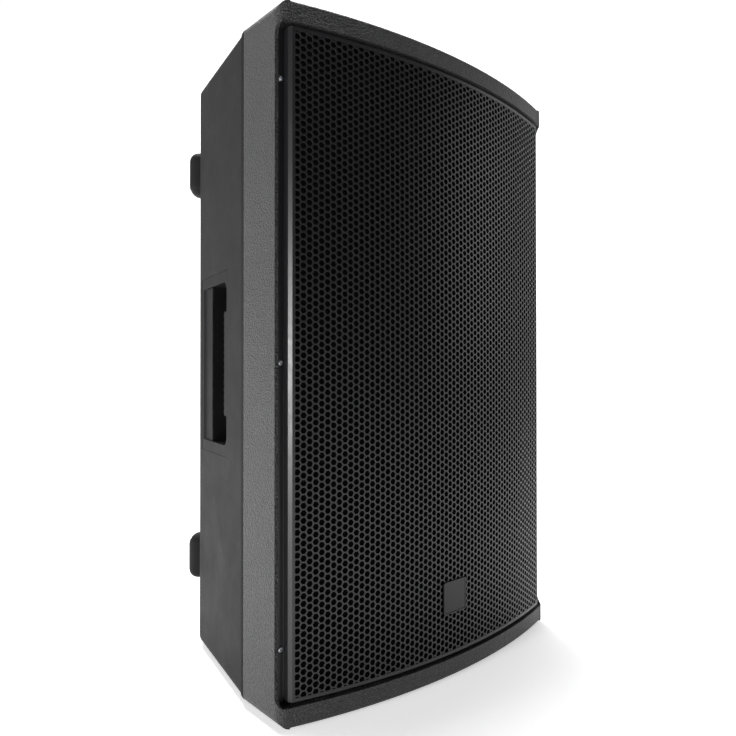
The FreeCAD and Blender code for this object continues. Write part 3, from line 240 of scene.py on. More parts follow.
def polished_acrylic():
    """Cast acrylic plate: deep black gloss with hairline scratches from wiping."""
    material, tree, shader, place = start_material("polished_acrylic", "#0c0c0d", 0.12, IOR=1.49,
                                                   Specular_IOR_Level=0.3)
    wiped = add(tree, "ShaderNodeMapping", Vector=place, Scale=(0.06, 1.0, 1.0)).outputs["Vector"]
    hairs = noise(tree, wiped, 0.3, 2.0)
    bump(tree, shader, hairs, 0.004)
    feed(tree, shader, "Roughness", spread(tree, noise(tree, place, 12, 3.0), 0.1, 0.2))
    return material


def painted_casting():
    """Black enamel over die-cast aluminium, dimpled by the casting skin."""
    material, tree, shader, place = start_material("painted_casting", "#242426", 0.45, IOR=1.5)
    skin = noise(tree, place, 1.5, 4.0, 0.6)
    bump(tree, shader, skin, 0.08)
    feed(tree, shader, "Roughness", spread(tree, skin, 0.38, 0.55))
    return material


def pressed_pulp():
    """Felted paper pulp pressed into a cone, with fibres and a charcoal dye."""
    material, tree, shader, place = start_material("pressed_pulp", "#1e1d1c", 0.85)
    fibres = noise(tree, place, 1.4, 6.0, 0.75)
    bump(tree, shader, fibres, 0.12)
    feed(tree, shader, "Base Color", blend(tree, fibres, "#161514", "#2a2826"))
    return material


def doped_cloth(name="doped_cloth", dark="#151514", light="#242322"):
    """Woven cotton stiffened with resin: threads about 1.2 mm apart show through the coat."""
    material, tree, shader, place = start_material(name, dark, 0.6)
    weave = waves(tree, place, 1.208, {"wave_type": "RINGS"}, 0.4)
    bump(tree, shader, weave, 0.08)
    feed(tree, shader, "Base Color", blend(tree, weave, dark, light))
    return material


def lacquered_copper():
    """Round copper wire, 0.7 mm thick, wound edge to edge under clear lacquer."""
    material, tree, shader, place = start_material("lacquered_copper", "#b8683a", 0.3, Metallic=1.0)
    turns = waves(tree, place, 0.698, {"bands_direction": "Y"})
    bump(tree, shader, turns, 0.15)
    # Painted shade and highlight: darker in the grooves between the turns, paler on their crowns.
    feed(tree, shader, "Base Color", blend(tree, turns, "#8f4a25", "#c87a48"))
    return material


def sintered_ferrite():
    """Ground ceramic magnet: dull grey-black and granular."""
    material, tree, shader, place = start_material("sintered_ferrite", "#3a3b3e", 0.6)
    grains = noise(tree, place, 0.9, 5.0, 0.7)
    bump(tree, shader, grains, 0.05)
    feed(tree, shader, "Base Color", blend(tree, grains, "#303134", "#46474a"))
    return material


def spun_titanium():
    """Thin titanium foil, pressed and lightly brushed."""
    material, tree, shader, place = start_material("spun_titanium", "#a8a6a2", 0.3, Metallic=1.0)
    feed(tree, shader, "Roughness", spread(tree, noise(tree, place, 2, 3.0), 0.25, 0.4))
    return material


def panel_enamel():
    """Fine-textured black enamel on sheet aluminium, the usual finish of an amplifier panel."""
    material, tree, shader, place = start_material("panel_enamel", "#1c1d1f", 0.5, IOR=1.5)
    texture = noise(tree, place, 0.7, 3.0)
    bump(tree, shader, texture, 0.08)
    feed(tree, shader, "Roughness", spread(tree, texture, 0.42, 0.6))
    return material


def black_anodised_aluminium():
    """Extruded fins, dyed and sealed: draw lines run along the extrusion."""
    material, tree, shader, place = start_material("black_anodised_aluminium", "#17181a", 0.4, Metallic=0.6)
    drawn = add(tree, "ShaderNodeMapping", Vector=place, Scale=(1.0, 1.0, 0.02)).outputs["Vector"]
    lines = noise(tree, drawn, 0.7, 3.0)
    bump(tree, shader, lines, 0.03)
    feed(tree, shader, "Roughness", spread(tree, lines, 0.32, 0.5))
    return material


def moulded_nylon(name, base, light, roughness=0.5):
    """Fine-textured moulded nylon for knobs, buttons and sockets."""
    material, tree, shader, place = start_material(name, base, roughness, IOR=1.53)
    spark = noise(tree, place, 0.35, 3.0)
    bump(tree, shader, spark, 0.05)
    feed(tree, shader, "Base Color", blend(tree, noise(tree, place, 9, 3.0), base, light))
    feed(tree, shader, "Roughness", spread(tree, spark, roughness - 0.08, roughness + 0.08))
    return material


def tinted_lens():
    """Green diffusing lens of a lamp, glowing a little."""
    material, tree, shader, place = start_material("tinted_lens", "#2f9a4c", 0.15, IOR=1.49)
    shader.inputs["Emission Color"].default_value = colour("#35c860")
    shader.inputs["Emission Strength"].default_value = 0.6
    bump(tree, shader, noise(tree, place, 0.8), 0.02)
    return material


def nickel_contact():
    """Nickel-plated brass contacts, bright with faint drawing marks."""
    material, tree, shader, place = start_material("nickel_contact", "#c9bd97", 0.22, Metallic=1.0)
    feed(tree, shader, "Roughness", spread(tree, noise(tree, place, 1.5, 3.0), 0.15, 0.35))
    return material


def solder_mask():
    """Green solder mask over glass laminate: patches a few millimetres long, with pale tracks between."""
    material, tree, shader, place = start_material("solder_mask", "#0f5a33", 0.3, IOR=1.5)
    tracks = add(tree, "ShaderNodeTexBrick", Vector=place, Scale=90.0, Color1=colour("#0c4a2a"),
                 Color2=colour("#12653a"), Mortar=colour("#1f7a4c"), Mortar_Size=0.03)
    feed(tree, shader, "Base Color", tracks.outputs["Color"])
    bump(tree, shader, tracks.outputs["Fac"], 0.03)
    return material


def winding_tape():
    """Yellow polyester tape round a transformer, in overlapping bands 20 mm wide."""
    material, tree, shader, place = start_material("winding_tape", "#b58a2a", 0.35, IOR=1.5)
    bands = waves(tree, place, 19.635, {"bands_direction": "Z", "wave_profile": "SAW"})
    bump(tree, shader, bands, 0.1)
    feed(tree, shader, "Base Color", blend(tree, bands, "#a87f24", "#c79a38"))
    return material


def shrunk_sleeve():
    """PVC sleeve shrunk round a capacitor can: dark blue gloss with a ripple."""
    material, tree, shader, place = start_material("shrunk_sleeve", "#16223f", 0.25, IOR=1.53)
    bump(tree, shader, noise(tree, place, 5, 2.0), 0.06)
    feed(tree, shader, "Roughness", spread(tree, noise(tree, place, 10), 0.2, 0.35))
    return material


def print_white():
    """Screen-printed ink on the panel and the knobs' pointers."""
    material, tree, shader, place = start_material("print_white", "#d8d8d4", 0.55)
    edge = noise(tree, place, 0.4, 2.0)
    feed(tree, shader, "Base Color", blend(tree, edge, "#c9c9c4", "#e2e2de"))
    return material


def studio_paper():
    """Seamless paper sweep under and behind the object."""
    material, tree, shader, place = start_material("studio_paper", "#f4f4f4", 0.9)
    shader.inputs["Emission Color"].default_value = (1, 1, 1, 1)
    shader.inputs["Emission Strength"].default_value = 0.5
    feed(tree, shader, "Roughness", spread(tree, noise(tree, place, 4, 3.0), 0.82, 0.95))
    return material


MATERIALS = {
    "front_plastic": grained_polypropylene(),
    "shell_plastic": satin_polypropylene(),
    "handle_plastic": satin_polypropylene("handle_polypropylene", "#151516", "#1b1b1c"),
    "grille_paint": powder_coated_steel(),
    "acoustic_foam": reticulated_foam(),
    "rubber_black": nitrile_rubber(),
    "screw_steel": zinc_plated_steel(),
    "black_screw": black_oxide_steel(),
    "badge_plastic": polished_acrylic(),
    "cast_frame": painted_casting(),
    "cone_paper": pressed_pulp(),
    "roll_cloth": doped_cloth(),
    "spider_cloth": doped_cloth("spider_cotton", "#8a5a1e", "#a87434"),
    "copper_wire": lacquered_copper(),
    "ferrite": sintered_ferrite(),
    "plated_steel": zinc_plated_steel("plated_steel", "#a3a5a8", "#84868a"),
    "horn_plastic": moulded_nylon("horn_plastic", "#161617", "#1b1b1c", 0.45),
    "dome_metal": spun_titanium(),
    "panel_paint": panel_enamel(),
    "sink_metal": black_anodised_aluminium(),
    "knob_plastic": moulded_nylon("knob_nylon", "#1b1b1c", "#242425"),
    "button_plastic": moulded_nylon("button_nylon", "#5a5b5e", "#66676a"),
    "lamp_lens": tinted_lens(),
    "socket_plastic": moulded_nylon("socket_nylon", "#131314", "#1a1a1b", 0.4),
    "contact_metal": nickel_contact(),
    "board_laminate": solder_mask(),
    "core_lacquer": winding_tape(),
    "can_sleeve": shrunk_sleeve(),
}
PRINT = print_white()


def dress_frame():
    """Gives every carried-over node the material of its slot."""
    for subpart in frame["record"]["subparts"]:
        node = frame["nodes"][subpart["node"]]
        node.data.materials.clear()
        node.data.materials.append(MATERIALS[subpart["material_slot"]])


# ---------------------------------------------------------------- trees for what repeats

class Tree:
    """A tree of nodes that makes geometry, with named inputs for its sizes."""

    def __init__(self, name, inputs):
        self.group = bpy.data.node_groups.new(name, "GeometryNodeTree")
        face = self.group.interface
        face.new_socket("Geometry", in_out="INPUT", socket_type="NodeSocketGeometry")
        face.new_socket("Geometry", in_out="OUTPUT", socket_type="NodeSocketGeometry")
        self.sockets = {}
        for label, kind in inputs:
            socket = face.new_socket(label, in_out="INPUT", socket_type=f"NodeSocket{kind}")
            self.sockets[label] = socket.identifier
        self.entry = self.group.nodes.new("NodeGroupInput")
        self.exit = self.group.nodes.new("NodeGroupOutput")

    def size(self, label):
        """The output that carries one of the named sizes."""
        return self.entry.outputs[label]

    def add(self, kind, settings=None, **links):
        """Adds a node to this tree."""
        return add(self.group, kind, settings, **links)

    def link(self, label, node, socket):
        """Feeds a named size into a node's input."""
        self.group.links.new(self.size(label), node.inputs[socket])

    def math(self, operation, first, second=0.0):
        """The result of an operation on one or two values."""
        return self.add("ShaderNodeMath", {"operation": operation}, _0=first, _1=second).outputs[0]

    def position(self):
        """The three parts of the position of whatever the tree is working on."""
        place = self.add("GeometryNodeInputPosition").outputs["Position"]
        return self.add("ShaderNodeSeparateXYZ", Vector=place).outputs

    def finish(self, geometry, material):
        """Ends the tree with plain geometry in one material."""
        real = self.add("GeometryNodeRealizeInstances", Geometry=geometry)
        dressed = self.add("GeometryNodeSetMaterial", Geometry=real.outputs["Geometry"])
        dressed.inputs["Material"].default_value = material
        self.group.links.new(dressed.outputs["Geometry"], self.exit.inputs["Geometry"])

    def make(self, name, values):
        """Runs the tree and returns its result as a plain mesh object."""
        carrier = show(name + "_carrier", bpy.data.meshes.new(name + "_carrier"))
        modifier = carrier.modifiers.new("Nodes", "NODES")
        modifier.node_group = self.group
        for label, value in values.items():
            modifier[self.sockets[label]] = value
        ready = carrier.evaluated_get(bpy.context.evaluated_depsgraph_get())
        mesh = bpy.data.meshes.new_from_object(ready)
        bpy.data.objects.remove(carrier)
        return show(name, mesh)


def cad_size(node):
    """A node's lowest corner, highest corner and size."""
    low, high = (Vector(corner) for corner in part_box(node))
    return low, high, high - low


def show(name, data):
    """Puts a mesh, lamp or camera into the scene."""
    shown = bpy.data.objects.new(name, data)
    bpy.context.collection.objects.link(shown)
    return shown


# ---------------------------------------------------------------- mesh helpers

def new_piece(name, mesh, body, slot, *nodes, material=None):
    """Shows a mesh as a piece of its body, in the place of the nodes that it replaces."""
    return settle(show(name, mesh), body, slot, *nodes, material=material)


def settle(piece, body, slot, *nodes, material=None):
    """Gives a piece without a material the given one or that of its slot, puts it in its body, and lets it
    replace nodes.
    """
    if not piece.data.materials:
        piece.data.materials.append(material or MATERIALS[slot])
    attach(piece, body)
    if nodes:
        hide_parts(*nodes)
    return piece


def mesh_from(name, build, smooth=False):
    """Makes a mesh from a building function, welds its corners and turns its faces outward."""
    grid = bmesh.new()
    build(grid)
    bmesh.ops.remove_doubles(grid, verts=grid.verts, dist=1e-6)
    bmesh.ops.recalc_face_normals(grid, faces=grid.faces)
    mesh = bpy.data.meshes.new(name)
    grid.to_mesh(mesh)
    grid.free()
    if smooth:
        mesh.shade_smooth()
    return mesh


def join_grid(grid, rows, closed=True):
    """Joins rows of corners with quads; each row is a closed loop unless told otherwise."""
    for first, second in zip(rows, rows[1:]):
        count = len(first)
        for step in range(count if closed else count - 1):
            after = (step + 1) % count
            grid.faces.new((first[step], first[after], second[after], second[step]))


def prism(grid, loop, low, high, lift=lambda u, v, w: (u, v, w)):
    """A closed prism over a loop of (u, v) corners, from low to high along w."""
    rows = [[grid.verts.new(lift(u, v, w)) for u, v in loop] for w in (low, high)]
    join_grid(grid, rows)
    for row in rows:
        grid.faces.new(row)


def thickened(path, thick):
    """Closed loop round a plan path given a thickness to its right, or to its left below zero."""
    inner = []
    for index, (x, y) in enumerate(path):
        before, after = path[max(index - 1, 0)], path[min(index + 1, len(path) - 1)]
        along = Vector((after[0] - before[0], after[1] - before[1])).normalized()
        inner.append((x + along.y * thick, y - along.x * thick))
    return path + inner[::-1]


def rounded_rectangle(width, height, radius, steps=5):
    """Corners of a rectangle with rounded ends, anticlockwise round the origin."""
    loop = []
    for quarter, (sx, sz) in enumerate(((1, 1), (-1, 1), (-1, -1), (1, -1))):
        for step in range(steps + 1):
            angle = math.radians(90 * (quarter + step / steps))
            loop.append((sx * (width / 2 - radius) + radius * math.cos(angle),
                         sz * (height / 2 - radius) + radius * math.sin(angle)))
    return loop


def tower(grid, rings, centre, facing):
    """A closed solid through rings of (corners, height), from centre towards +y or -y as facing says."""
    rows = [[grid.verts.new((centre[0] + u, centre[1] + facing * height, centre[2] + v)) for u, v in loop]
            for loop, height in rings]
    join_grid(grid, rows)
    grid.faces.new(rows[0])
    grid.faces.new(rows[-1])


def circle_loop(radius, steps, wave=0.0, waves=1):
    """Corners of a circle, optionally fluted."""
    loop = []
    for step in range(steps):
        angle = 2 * math.pi * step / steps
        reach = radius + wave * math.cos(waves * angle)
        loop.append((reach * math.cos(angle), reach * math.sin(angle)))
    return loop


# ---------------------------------------------------------------- grille

BOW = 712 * MM                 # outer radius of the sheet
SHEET = 1.2 * MM               # its thickness
ROW, COLUMN = 7.4 * MM, 7.4 * MM * math.cos(math.radians(30))
COLUMNS, ROWS = 65, 91         # cells set out, before those past the plain bands are dropped
ACROSS = 5.85 * MM             # hole size across its flats
WELD = 0.02 * MM               # corners nearer than this are one
GRILLE_LOW, GRILLE_HIGH, _ = cad_size("grille")
CROWN = GRILLE_LOW.y           # the sheet's front at x = 0
GRILLE_MIDDLE = (GRILLE_LOW.z + GRILLE_HIGH.z) / 2
GRILLE_HALF = (GRILLE_HIGH.z - GRILLE_LOW.z) / 2
CHORD = 201 * MM               # half width of the bowed part
PUNCHED_SIDE = 201.0 * MM      # arc length from the middle to the plain edge band
PUNCHED_TOP = GRILLE_HALF - 3.6 * MM
OVERRUN = 0.9 * MM             # how far the punched field runs in under the plain bands
PROUD = 0.04 * MM              # how far the bands stand in front of it
FLANGE_X, FLANGE_START = 203.5 * MM, 33 * MM
LIP_DEPTH = 41 * MM            # how far the outer lip lies behind the crown
BAND_STEPS = 48                # straight pieces that follow the bow


def on_bow(arc, depth):
    """Plan position of a point a given way along the sheet and a given depth behind its front."""
    turn = arc / BOW
    reach = BOW - depth
    return (reach * math.sin(turn), CROWN + BOW - reach * math.cos(turn))


def bend(tree, points):
    """Bends flat points (arc, depth, height) onto the sheet's arc."""
    arc, depth, height = tree.position()
    turn = tree.math("DIVIDE", arc, tree.size("Bow Radius"))
    reach = tree.math("SUBTRACT", tree.size("Bow Radius"), depth)
    x = tree.math("MULTIPLY", reach, tree.math("SINE", turn))
    sunk = tree.math("MULTIPLY", reach, tree.math("COSINE", turn))
    y = tree.math("ADD", tree.size("Crown"), tree.math("SUBTRACT", tree.size("Bow Radius"), sunk))
    z = tree.math("ADD", height, tree.size("Middle Height"))
    bent = tree.add("ShaderNodeCombineXYZ", X=x, Y=y, Z=z)
    return tree.add("GeometryNodeSetPosition", Geometry=points, Position=bent.outputs[0]).outputs[0]


def hole_corner(column, row, corner):
    """A hexagon corner of the hole some columns and rows from the cell's own hole."""
    angle = math.radians(60 * corner)
    radius = ACROSS / math.sqrt(3)
    return (column * COLUMN + radius * math.cos(angle), row * ROW / 2 + radius * math.sin(angle))


def lattice_cell(grid):
    """One cell of the punched sheet: its hole's six walls, three webs and two junctions, on both faces."""
    webs = (((0, 0, 1), (0, 0, 2), (0, 2, 4), (0, 2, 5)), ((0, 0, 0), (0, 0, 1), (1, 1, 3), (1, 1, 4)),
            ((0, 0, 5), (0, 0, 0), (1, -1, 2), (1, -1, 3)))
    junctions = (((0, 0, 1), (1, 1, 3), (0, 2, 5)), ((0, 0, 0), (1, -1, 2), (1, 1, 4)))
    for depth in (0, SHEET):
        for face in webs + junctions:
            corners = [hole_corner(*corner) for corner in face]
            grid.faces.new([grid.verts.new((u, depth, v)) for u, v in corners])
    rows = [[grid.verts.new((u, depth, v)) for u, v in (hole_corner(0, 0, k) for k in range(6))]
            for depth in (0, SHEET)]
    join_grid(grid, rows)


def outward_cell():
    """The cell's mesh with every face turned to open air."""
    grid = bmesh.new()
    lattice_cell(grid)
    grid.normal_update()
    for face in grid.faces:
        middle = face.calc_center_median()
        if abs(face.normal.y) > 0.5:
            wanted = Vector((0, -1 if middle.y < SHEET / 2 else 1, 0))
        else:
            wanted = Vector((-middle.x, 0, -middle.z))
        if face.normal.dot(wanted) < 0:
            face.normal_flip()
    mesh = bpy.data.meshes.new("lattice_cell")
    grid.to_mesh(mesh)
    grid.free()
    return show("lattice_cell", mesh)


def punched_field():
    """Sets cells on a staggered grid, drops the faces past the plain bands and bends the rest."""
    tree = Tree("punched_sheet", [("Bow Radius", "Float"), ("Crown", "Float"), ("Middle Height", "Float"),
                                  ("Column Pitch", "Float"), ("Row Pitch", "Float"), ("Columns", "Int"),
                                  ("Rows", "Int"), ("Half Width", "Float"), ("Half Height", "Float"),
                                  ("Cell", "Object")])
    columns, rows = tree.size("Columns"), tree.size("Rows")
    width = tree.math("MULTIPLY", tree.math("SUBTRACT", columns, 1.0), tree.size("Column Pitch"))
    height = tree.math("MULTIPLY", tree.math("SUBTRACT", rows, 1.0), tree.size("Row Pitch"))
    flat = tree.add("GeometryNodeMeshGrid", Size_X=width, Size_Y=height, Vertices_X=columns, Vertices_Y=rows)
    across, along, _ = tree.position()
    number = tree.math("ROUND", tree.math("DIVIDE", across, tree.size("Column Pitch")))
    odd = tree.math("FLOORED_MODULO", number, 2.0)
    stagger = tree.math("MULTIPLY", odd, tree.math("MULTIPLY", tree.size("Row Pitch"), 0.5))
    upright = tree.add("ShaderNodeCombineXYZ", X=across, Z=tree.math("ADD", along, stagger))
    points = tree.add("GeometryNodeSetPosition", Geometry=flat.outputs["Mesh"], Position=upright.outputs[0])
    cell = tree.add("GeometryNodeObjectInfo")
    tree.link("Cell", cell, "Object")
    copies = tree.add("GeometryNodeInstanceOnPoints", Points=points.outputs[0],
                      Instance=cell.outputs["Geometry"])
    real = tree.add("GeometryNodeRealizeInstances", Geometry=copies.outputs[0])
    sideways, _, upwards = tree.position()
    wide = tree.math("GREATER_THAN", tree.math("ABSOLUTE", sideways), tree.size("Half Width"))
    tall = tree.math("GREATER_THAN", tree.math("ABSOLUTE", upwards), tree.size("Half Height"))
    kept = tree.add("GeometryNodeDeleteGeometry", {"domain": "FACE"}, Geometry=real.outputs[0],
                    Selection=tree.math("MAXIMUM", wide, tall))
    welded = tree.add("GeometryNodeMergeByDistance", Geometry=kept.outputs[0], Distance=WELD)
    tree.finish(bend(tree, welded.outputs[0]), MATERIALS["grille_paint"])
    cell_object = outward_cell()
    field = tree.make("grille_field", {
        "Bow Radius": BOW, "Crown": CROWN, "Middle Height": GRILLE_MIDDLE, "Column Pitch": COLUMN,
        "Row Pitch": ROW, "Columns": COLUMNS, "Rows": ROWS, "Half Width": PUNCHED_SIDE + OVERRUN,
        "Half Height": PUNCHED_TOP + OVERRUN, "Cell": cell_object})
    bpy.data.objects.remove(cell_object)
    return field


def grille_band(grid):
    """Plain edges: side strips with their flange and lip, and strips at the top and bottom."""
    edge = BOW * math.asin(CHORD / BOW)
    lip = CROWN + LIP_DEPTH
    for side in (-1, 1):
        arc = [on_bow(PUNCHED_SIDE + (edge - PUNCHED_SIDE) * t, -PROUD) for t in (0, 0.5, 1)]
        fold = [(FLANGE_X, CROWN + FLANGE_START), (FLANGE_X, lip - 0.3 * MM), (FLANGE_X + 0.4 * MM, lip),
                (GRILLE_HIGH.x, lip)]
        loop = thickened(arc + fold, -SHEET - PROUD)
        prism(grid, [(side * x, y) for x, y in loop], GRILLE_LOW.z, GRILLE_HIGH.z)
    path = [on_bow(PUNCHED_SIDE * (2 * k / BAND_STEPS - 1), -PROUD) for k in range(BAND_STEPS + 1)]
    loop = thickened(path, -SHEET - PROUD)
    prism(grid, loop, GRILLE_LOW.z, GRILLE_MIDDLE - PUNCHED_TOP)
    prism(grid, loop, GRILLE_MIDDLE + PUNCHED_TOP, GRILLE_HIGH.z)


def grille():
    """Punched steel sheet with its bent edges, as one piece."""
    field = punched_field()
    band = show("grille_band", mesh_from("grille_band", grille_band))
    band.data.materials.append(MATERIALS["grille_paint"])
    with bpy.context.temp_override(active_object=field, selected_editable_objects=[field, band]):
        bpy.ops.object.join()
    field.name = "grille_sheet"
    settle(field, "cabinet", "grille_paint", "grille")


# ---------------------------------------------------------------- screws, knobs and marks

HEAD_HEIGHT = 2.0 * MM
HEAD_STEPS, SHANK_STEPS = 24, 12
HEAD_PROFILE = ((1, 0.0), (1, 0.25), (0.93, 0.42), (0.8, 0.8), (0.62, 1))    # shares of radius and height
RECESS = 0.42                  # share of the head's radius


def screw_head(grid, centre, radius, facing):
    """Pan head with a washer rim, a domed top and a six-lobed recess."""
    rings = [(circle_loop(radius * reach, HEAD_STEPS), HEAD_HEIGHT * level) for reach, level in HEAD_PROFILE]
    lobes = dict(wave=radius * 0.03, waves=6)
    rings.append((circle_loop(radius * RECESS, HEAD_STEPS, **lobes), HEAD_HEIGHT))
    rings.append((circle_loop(radius * RECESS * 0.92, HEAD_STEPS, **lobes), HEAD_HEIGHT * 0.35))
    tower(grid, rings, centre, facing)


def separate_boxes(node):
    """Lowest and highest corner of each separate solid of a grouped node."""
    grid = bmesh.new()
    grid.from_mesh(frame["nodes"][node].data)
    grid.transform(frame["nodes"][node].matrix_world)
    bmesh.ops.remove_doubles(grid, verts=grid.verts, dist=1e-6)
    found, seen = [], set()
    for start in grid.verts:
        if start in seen:
            continue
        island, queue = [], [start]
        seen.add(start)
        while queue:
            vert = queue.pop()
            island.append(vert.co)
            for edge in vert.link_edges:
                other = edge.other_vert(vert)
                if other not in seen:
                    seen.add(other)
                    queue.append(other)
        low = Vector(min(co[i] for co in island) for i in range(3))
        high = Vector(max(co[i] for co in island) for i in range(3))
        found.append((low, high))
    grid.free()
    return found


def screws(node, slot, facing):
    """Detailed heads and plain shanks in the place of a group of screws."""
    def build(grid):
        for low, high in separate_boxes(node):
            radius = (high.x - low.x) / 2
            centre = (low + high) / 2
            front, back = (low.y, high.y) if facing < 0 else (high.y, low.y)
            under = front - facing * HEAD_HEIGHT
            screw_head(grid, (centre.x, under, centre.z), radius, facing)
            prism(grid, circle_loop(radius * 0.5, SHANK_STEPS), *sorted((under, back)),
                  lift=lambda u, v, w: (centre.x + u, w, centre.z + v))
    new_piece(node + "_detailed", mesh_from(node, build), "cabinet", slot, node)


KNOB_TALL = 10.2 * MM          # from the skirt's foot to the face
KNOB_STEPS = 64
SHAFT = 3 * MM                 # radius of the shaft
FLUTES = dict(wave=0.35 * MM, waves=16)


def knob(node):
    """Fluted cap with a skirt on a plain shaft, and a raised pointer line."""
    low, high, _ = cad_size(node)
    centre = (low + high) / 2
    radius = (high.x - low.x) / 2
    face = high.y
    skirt = face - KNOB_TALL

    def ring(reach, level, **flutes):
        return circle_loop(reach, KNOB_STEPS, **flutes), level

    def build(grid):
        rings = [ring(SHAFT, low.y - skirt), ring(SHAFT, 0.0), ring(radius, 0.0), ring(radius, 1.6 * MM),
                 ring(radius - 0.6 * MM, 2.2 * MM), ring(radius - 0.75 * MM, 2.6 * MM, **FLUTES),
                 ring(radius - 1.5 * MM, 9.2 * MM, **FLUTES), ring(radius - 2.6 * MM, face - skirt),
                 ring(radius - 4 * MM, face - skirt - 0.3 * MM)]
        tower(grid, rings, (centre.x, skirt, centre.z), 1)
    new_piece(node + "_fluted", mesh_from(node, build, True), node, "knob_plastic", node)

    def pointer(grid):
        outline = rounded_rectangle(1.1 * MM, 4.6 * MM, 0.4 * MM, 3)
        rim = rounded_rectangle(0.8 * MM, 4.3 * MM, 0.3 * MM, 3)
        tower(grid, [(outline, -0.3 * MM), (outline, 0.25 * MM), (rim, 0.3 * MM)],
              (centre.x, face - 0.4 * MM, centre.z + 2.6 * MM), 1)
    new_piece(node + "_pointer", mesh_from(node + "_pointer", pointer), node, "knob_plastic", material=PRINT)


DIAL = {"Radius": 11.2 * MM, "Stroke": 2.2 * MM, "Width": 0.5 * MM, "Depth": 0.16 * MM, "Count": 11,
        "Sweep": math.radians(300)}
DIAL_START = math.radians(-60)
PRINT_LIFT = 0.02 * MM         # the strokes' middle stands this far in front of the panel


def panel_marks():
    """Printed scale of eleven strokes round every knob."""
    tree = Tree("dial_scale", [("Radius", "Float"), ("Stroke", "Float"), ("Width", "Float"),
                               ("Depth", "Float"), ("Count", "Int"), ("Sweep", "Float")])
    arc = tree.add("GeometryNodeCurveArc")
    for label, socket in (("Radius", "Radius"), ("Sweep", "Sweep Angle"), ("Count", "Resolution")):
        tree.link(label, arc, socket)
    arc.inputs["Start Angle"].default_value = DIAL_START
    points = tree.add("GeometryNodeCurveToPoints", Curve=arc.outputs["Curve"])
    tree.link("Count", points, "Count")
    shape = tree.add("ShaderNodeCombineXYZ", X=tree.size("Stroke"), Y=tree.size("Width"),
                     Z=tree.size("Depth"))
    block = tree.add("GeometryNodeMeshCube", Size=shape.outputs[0])
    outward = tree.add("GeometryNodeInputPosition")
    aim = tree.add("FunctionNodeAlignRotationToVector", {"axis": "X"}, Vector=outward.outputs[0])
    copies = tree.add("GeometryNodeInstanceOnPoints", Points=points.outputs["Points"],
                      Instance=block.outputs["Mesh"], Rotation=aim.outputs[0])
    tree.finish(copies.outputs[0], PRINT)
    panel = cad_size("amp_panel")[1].y
    for node in [n for n in frame["nodes"] if n.endswith("_knob")]:
        low, high, _ = cad_size(node)
        scale = tree.make(node + "_scale", DIAL)
        scale.data.transform(Matrix.Rotation(math.radians(90), 4, "X"))
        middle = ((low.x + high.x) / 2, panel + PRINT_LIFT, (low.z + high.z) / 2)
        scale.data.transform(Matrix.Translation(middle))
        settle(scale, "cabinet", "panel_paint", material=PRINT)


def badge():
    """Bare square plate with a bevelled rim and a shallow dished field."""
    low, high, size = cad_size("badge")
    centre = ((low.x + high.x) / 2, high.y, (low.z + high.z) / 2)

    def ring(inset, radius, level):
        side = size.x - inset * MM
        return rounded_rectangle(side, side, radius * MM), level

    def build(grid):
        tower(grid, [ring(0, 2, 0.0), ring(0, 2, size.y - 0.7 * MM), ring(0.5, 1.9, size.y - 0.2 * MM),
                     ring(1.2, 1.6, size.y), ring(3.4, 1.2, size.y), ring(4.0, 1.0, size.y - 0.5 * MM)],
              centre, -1)
    new_piece("badge_plate", mesh_from("badge_plate", build), "cabinet", "badge_plastic", "badge")


# ---------------------------------------------------------------- studio, in metres

PAPER_NEAR, PAPER_HALF = -5.0, 14                    # near edge and half width
SWEEP_START, SWEEP_RADIUS, SWEEP_TOP = 2.2, 1.2, 5.0
PAPER_TURN = -0.73             # square to the camera
PAPER_DROP = 0.3 * MM          # under the feet, so that no two faces share a plane
AIR = 0.12                     # strength of the light from all round
AIM = Vector((0, 0, 0.36))     # the lights face the cabinet's middle
LIGHTS = (                     # name, place, width and height, watts
    ("side_light", (-1.6, 1.5, 0.36), (0.6, 0.4), 13),
    ("key_light", (-2.4, -0.3, 0.4), (0.4, 0.5), 38),
    ("right_light", (2.6, -1.9, 1.1), (1.2, 1.6), 13),
    ("paper_light", (0.1, 0.8, 3.4), (1.6, 1.6), 170),
)


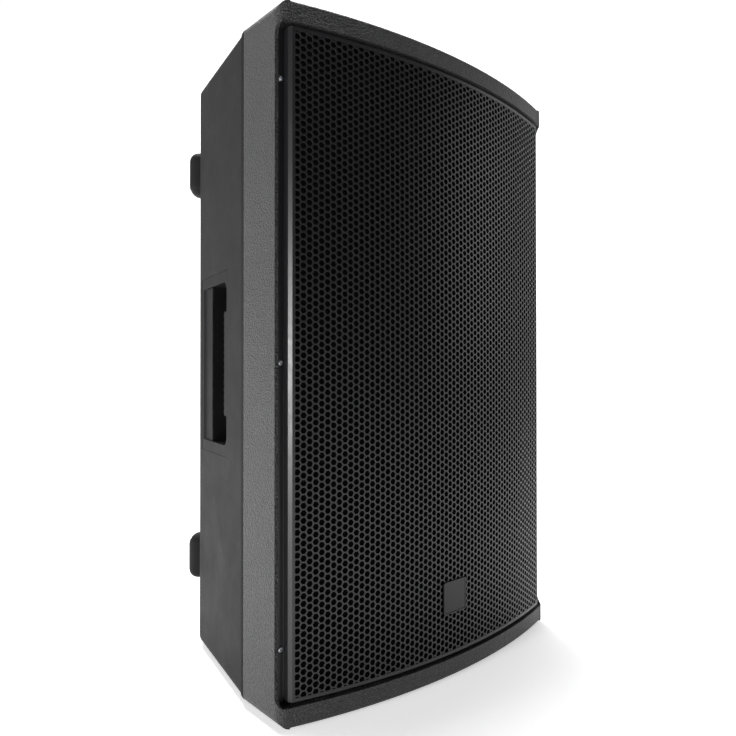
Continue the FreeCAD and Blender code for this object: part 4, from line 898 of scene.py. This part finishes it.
def sweep(grid):
    """Floor that curves up into a wall."""
    profile = [(PAPER_NEAR, 0.0)]
    for degrees in range(0, 91, 9):
        angle = math.radians(degrees)
        profile.append((SWEEP_START + SWEEP_RADIUS * math.sin(angle),
                        SWEEP_RADIUS - SWEEP_RADIUS * math.cos(angle)))
    profile.append((SWEEP_START + SWEEP_RADIUS, SWEEP_TOP))
    rows = [[grid.verts.new((x, y, z)) for x in (-PAPER_HALF, PAPER_HALF)] for y, z in profile]
    join_grid(grid, rows, closed=False)


def studio():
    """Pale paper, dim surroundings and the soft lights of a product table."""
    paper = show("paper_sweep", mesh_from("paper_sweep", sweep, True))
    paper.data.materials.append(studio_paper())
    paper.location.z = -PAPER_DROP
    paper.rotation_euler.z = PAPER_TURN
    world = bpy.data.worlds.new("studio_air")
    world.use_nodes = True
    world.node_tree.nodes["Background"].inputs["Color"].default_value = (1, 1, 1, 1)
    world.node_tree.nodes["Background"].inputs["Strength"].default_value = AIR
    bpy.context.scene.world = world
    for name, place, size, power in LIGHTS:
        lamp = bpy.data.lights.new(name, "AREA")
        lamp.shape = "RECTANGLE"
        lamp.size, lamp.size_y = size
        lamp.energy = power
        light = show(name, lamp)
        light.location = place
        light.rotation_euler = (AIM - light.location).to_track_quat("-Z", "Y").to_euler()


FOCAL_LENGTH, SENSOR = 32.0, 36                      # millimetres
SHIFT = (-0.030, -0.0052)                            # shares of the sensor
EYE = (-0.5575, -0.6968, 0.3509)
YAW, PITCH, ROLL = 0.7324, 0.0087, -0.0009           # radians


def camera():
    """Near, level view from the front left, fitted to the cabinet's straight edges."""
    data = bpy.data.cameras.new("camera")
    data.lens, data.sensor_width = FOCAL_LENGTH, SENSOR
    data.shift_x, data.shift_y = SHIFT
    data.clip_start, data.clip_end = 0.01, 50
    lens = show("camera", data)
    facing = Vector((math.sin(YAW) * math.cos(PITCH), math.cos(YAW) * math.cos(PITCH), math.sin(PITCH)))
    turned = facing.to_track_quat("-Z", "Y").to_matrix() @ Matrix.Rotation(ROLL, 3, "Z")
    lens.rotation_euler = turned.to_euler()
    lens.location = EYE
    bpy.context.scene.camera = lens
    view = bpy.context.scene.view_settings
    view.view_transform, view.look, view.exposure = "Standard", "None", 0.0


dress_frame()
grille()
screws("grille_screws", "screw_steel", -1)
screws("panel_screws", "black_screw", 1)
for control in ("input_one_knob", "input_two_knob", "tone_knob", "master_knob"):
    knob(control)
panel_marks()
badge()
studio()
camera()
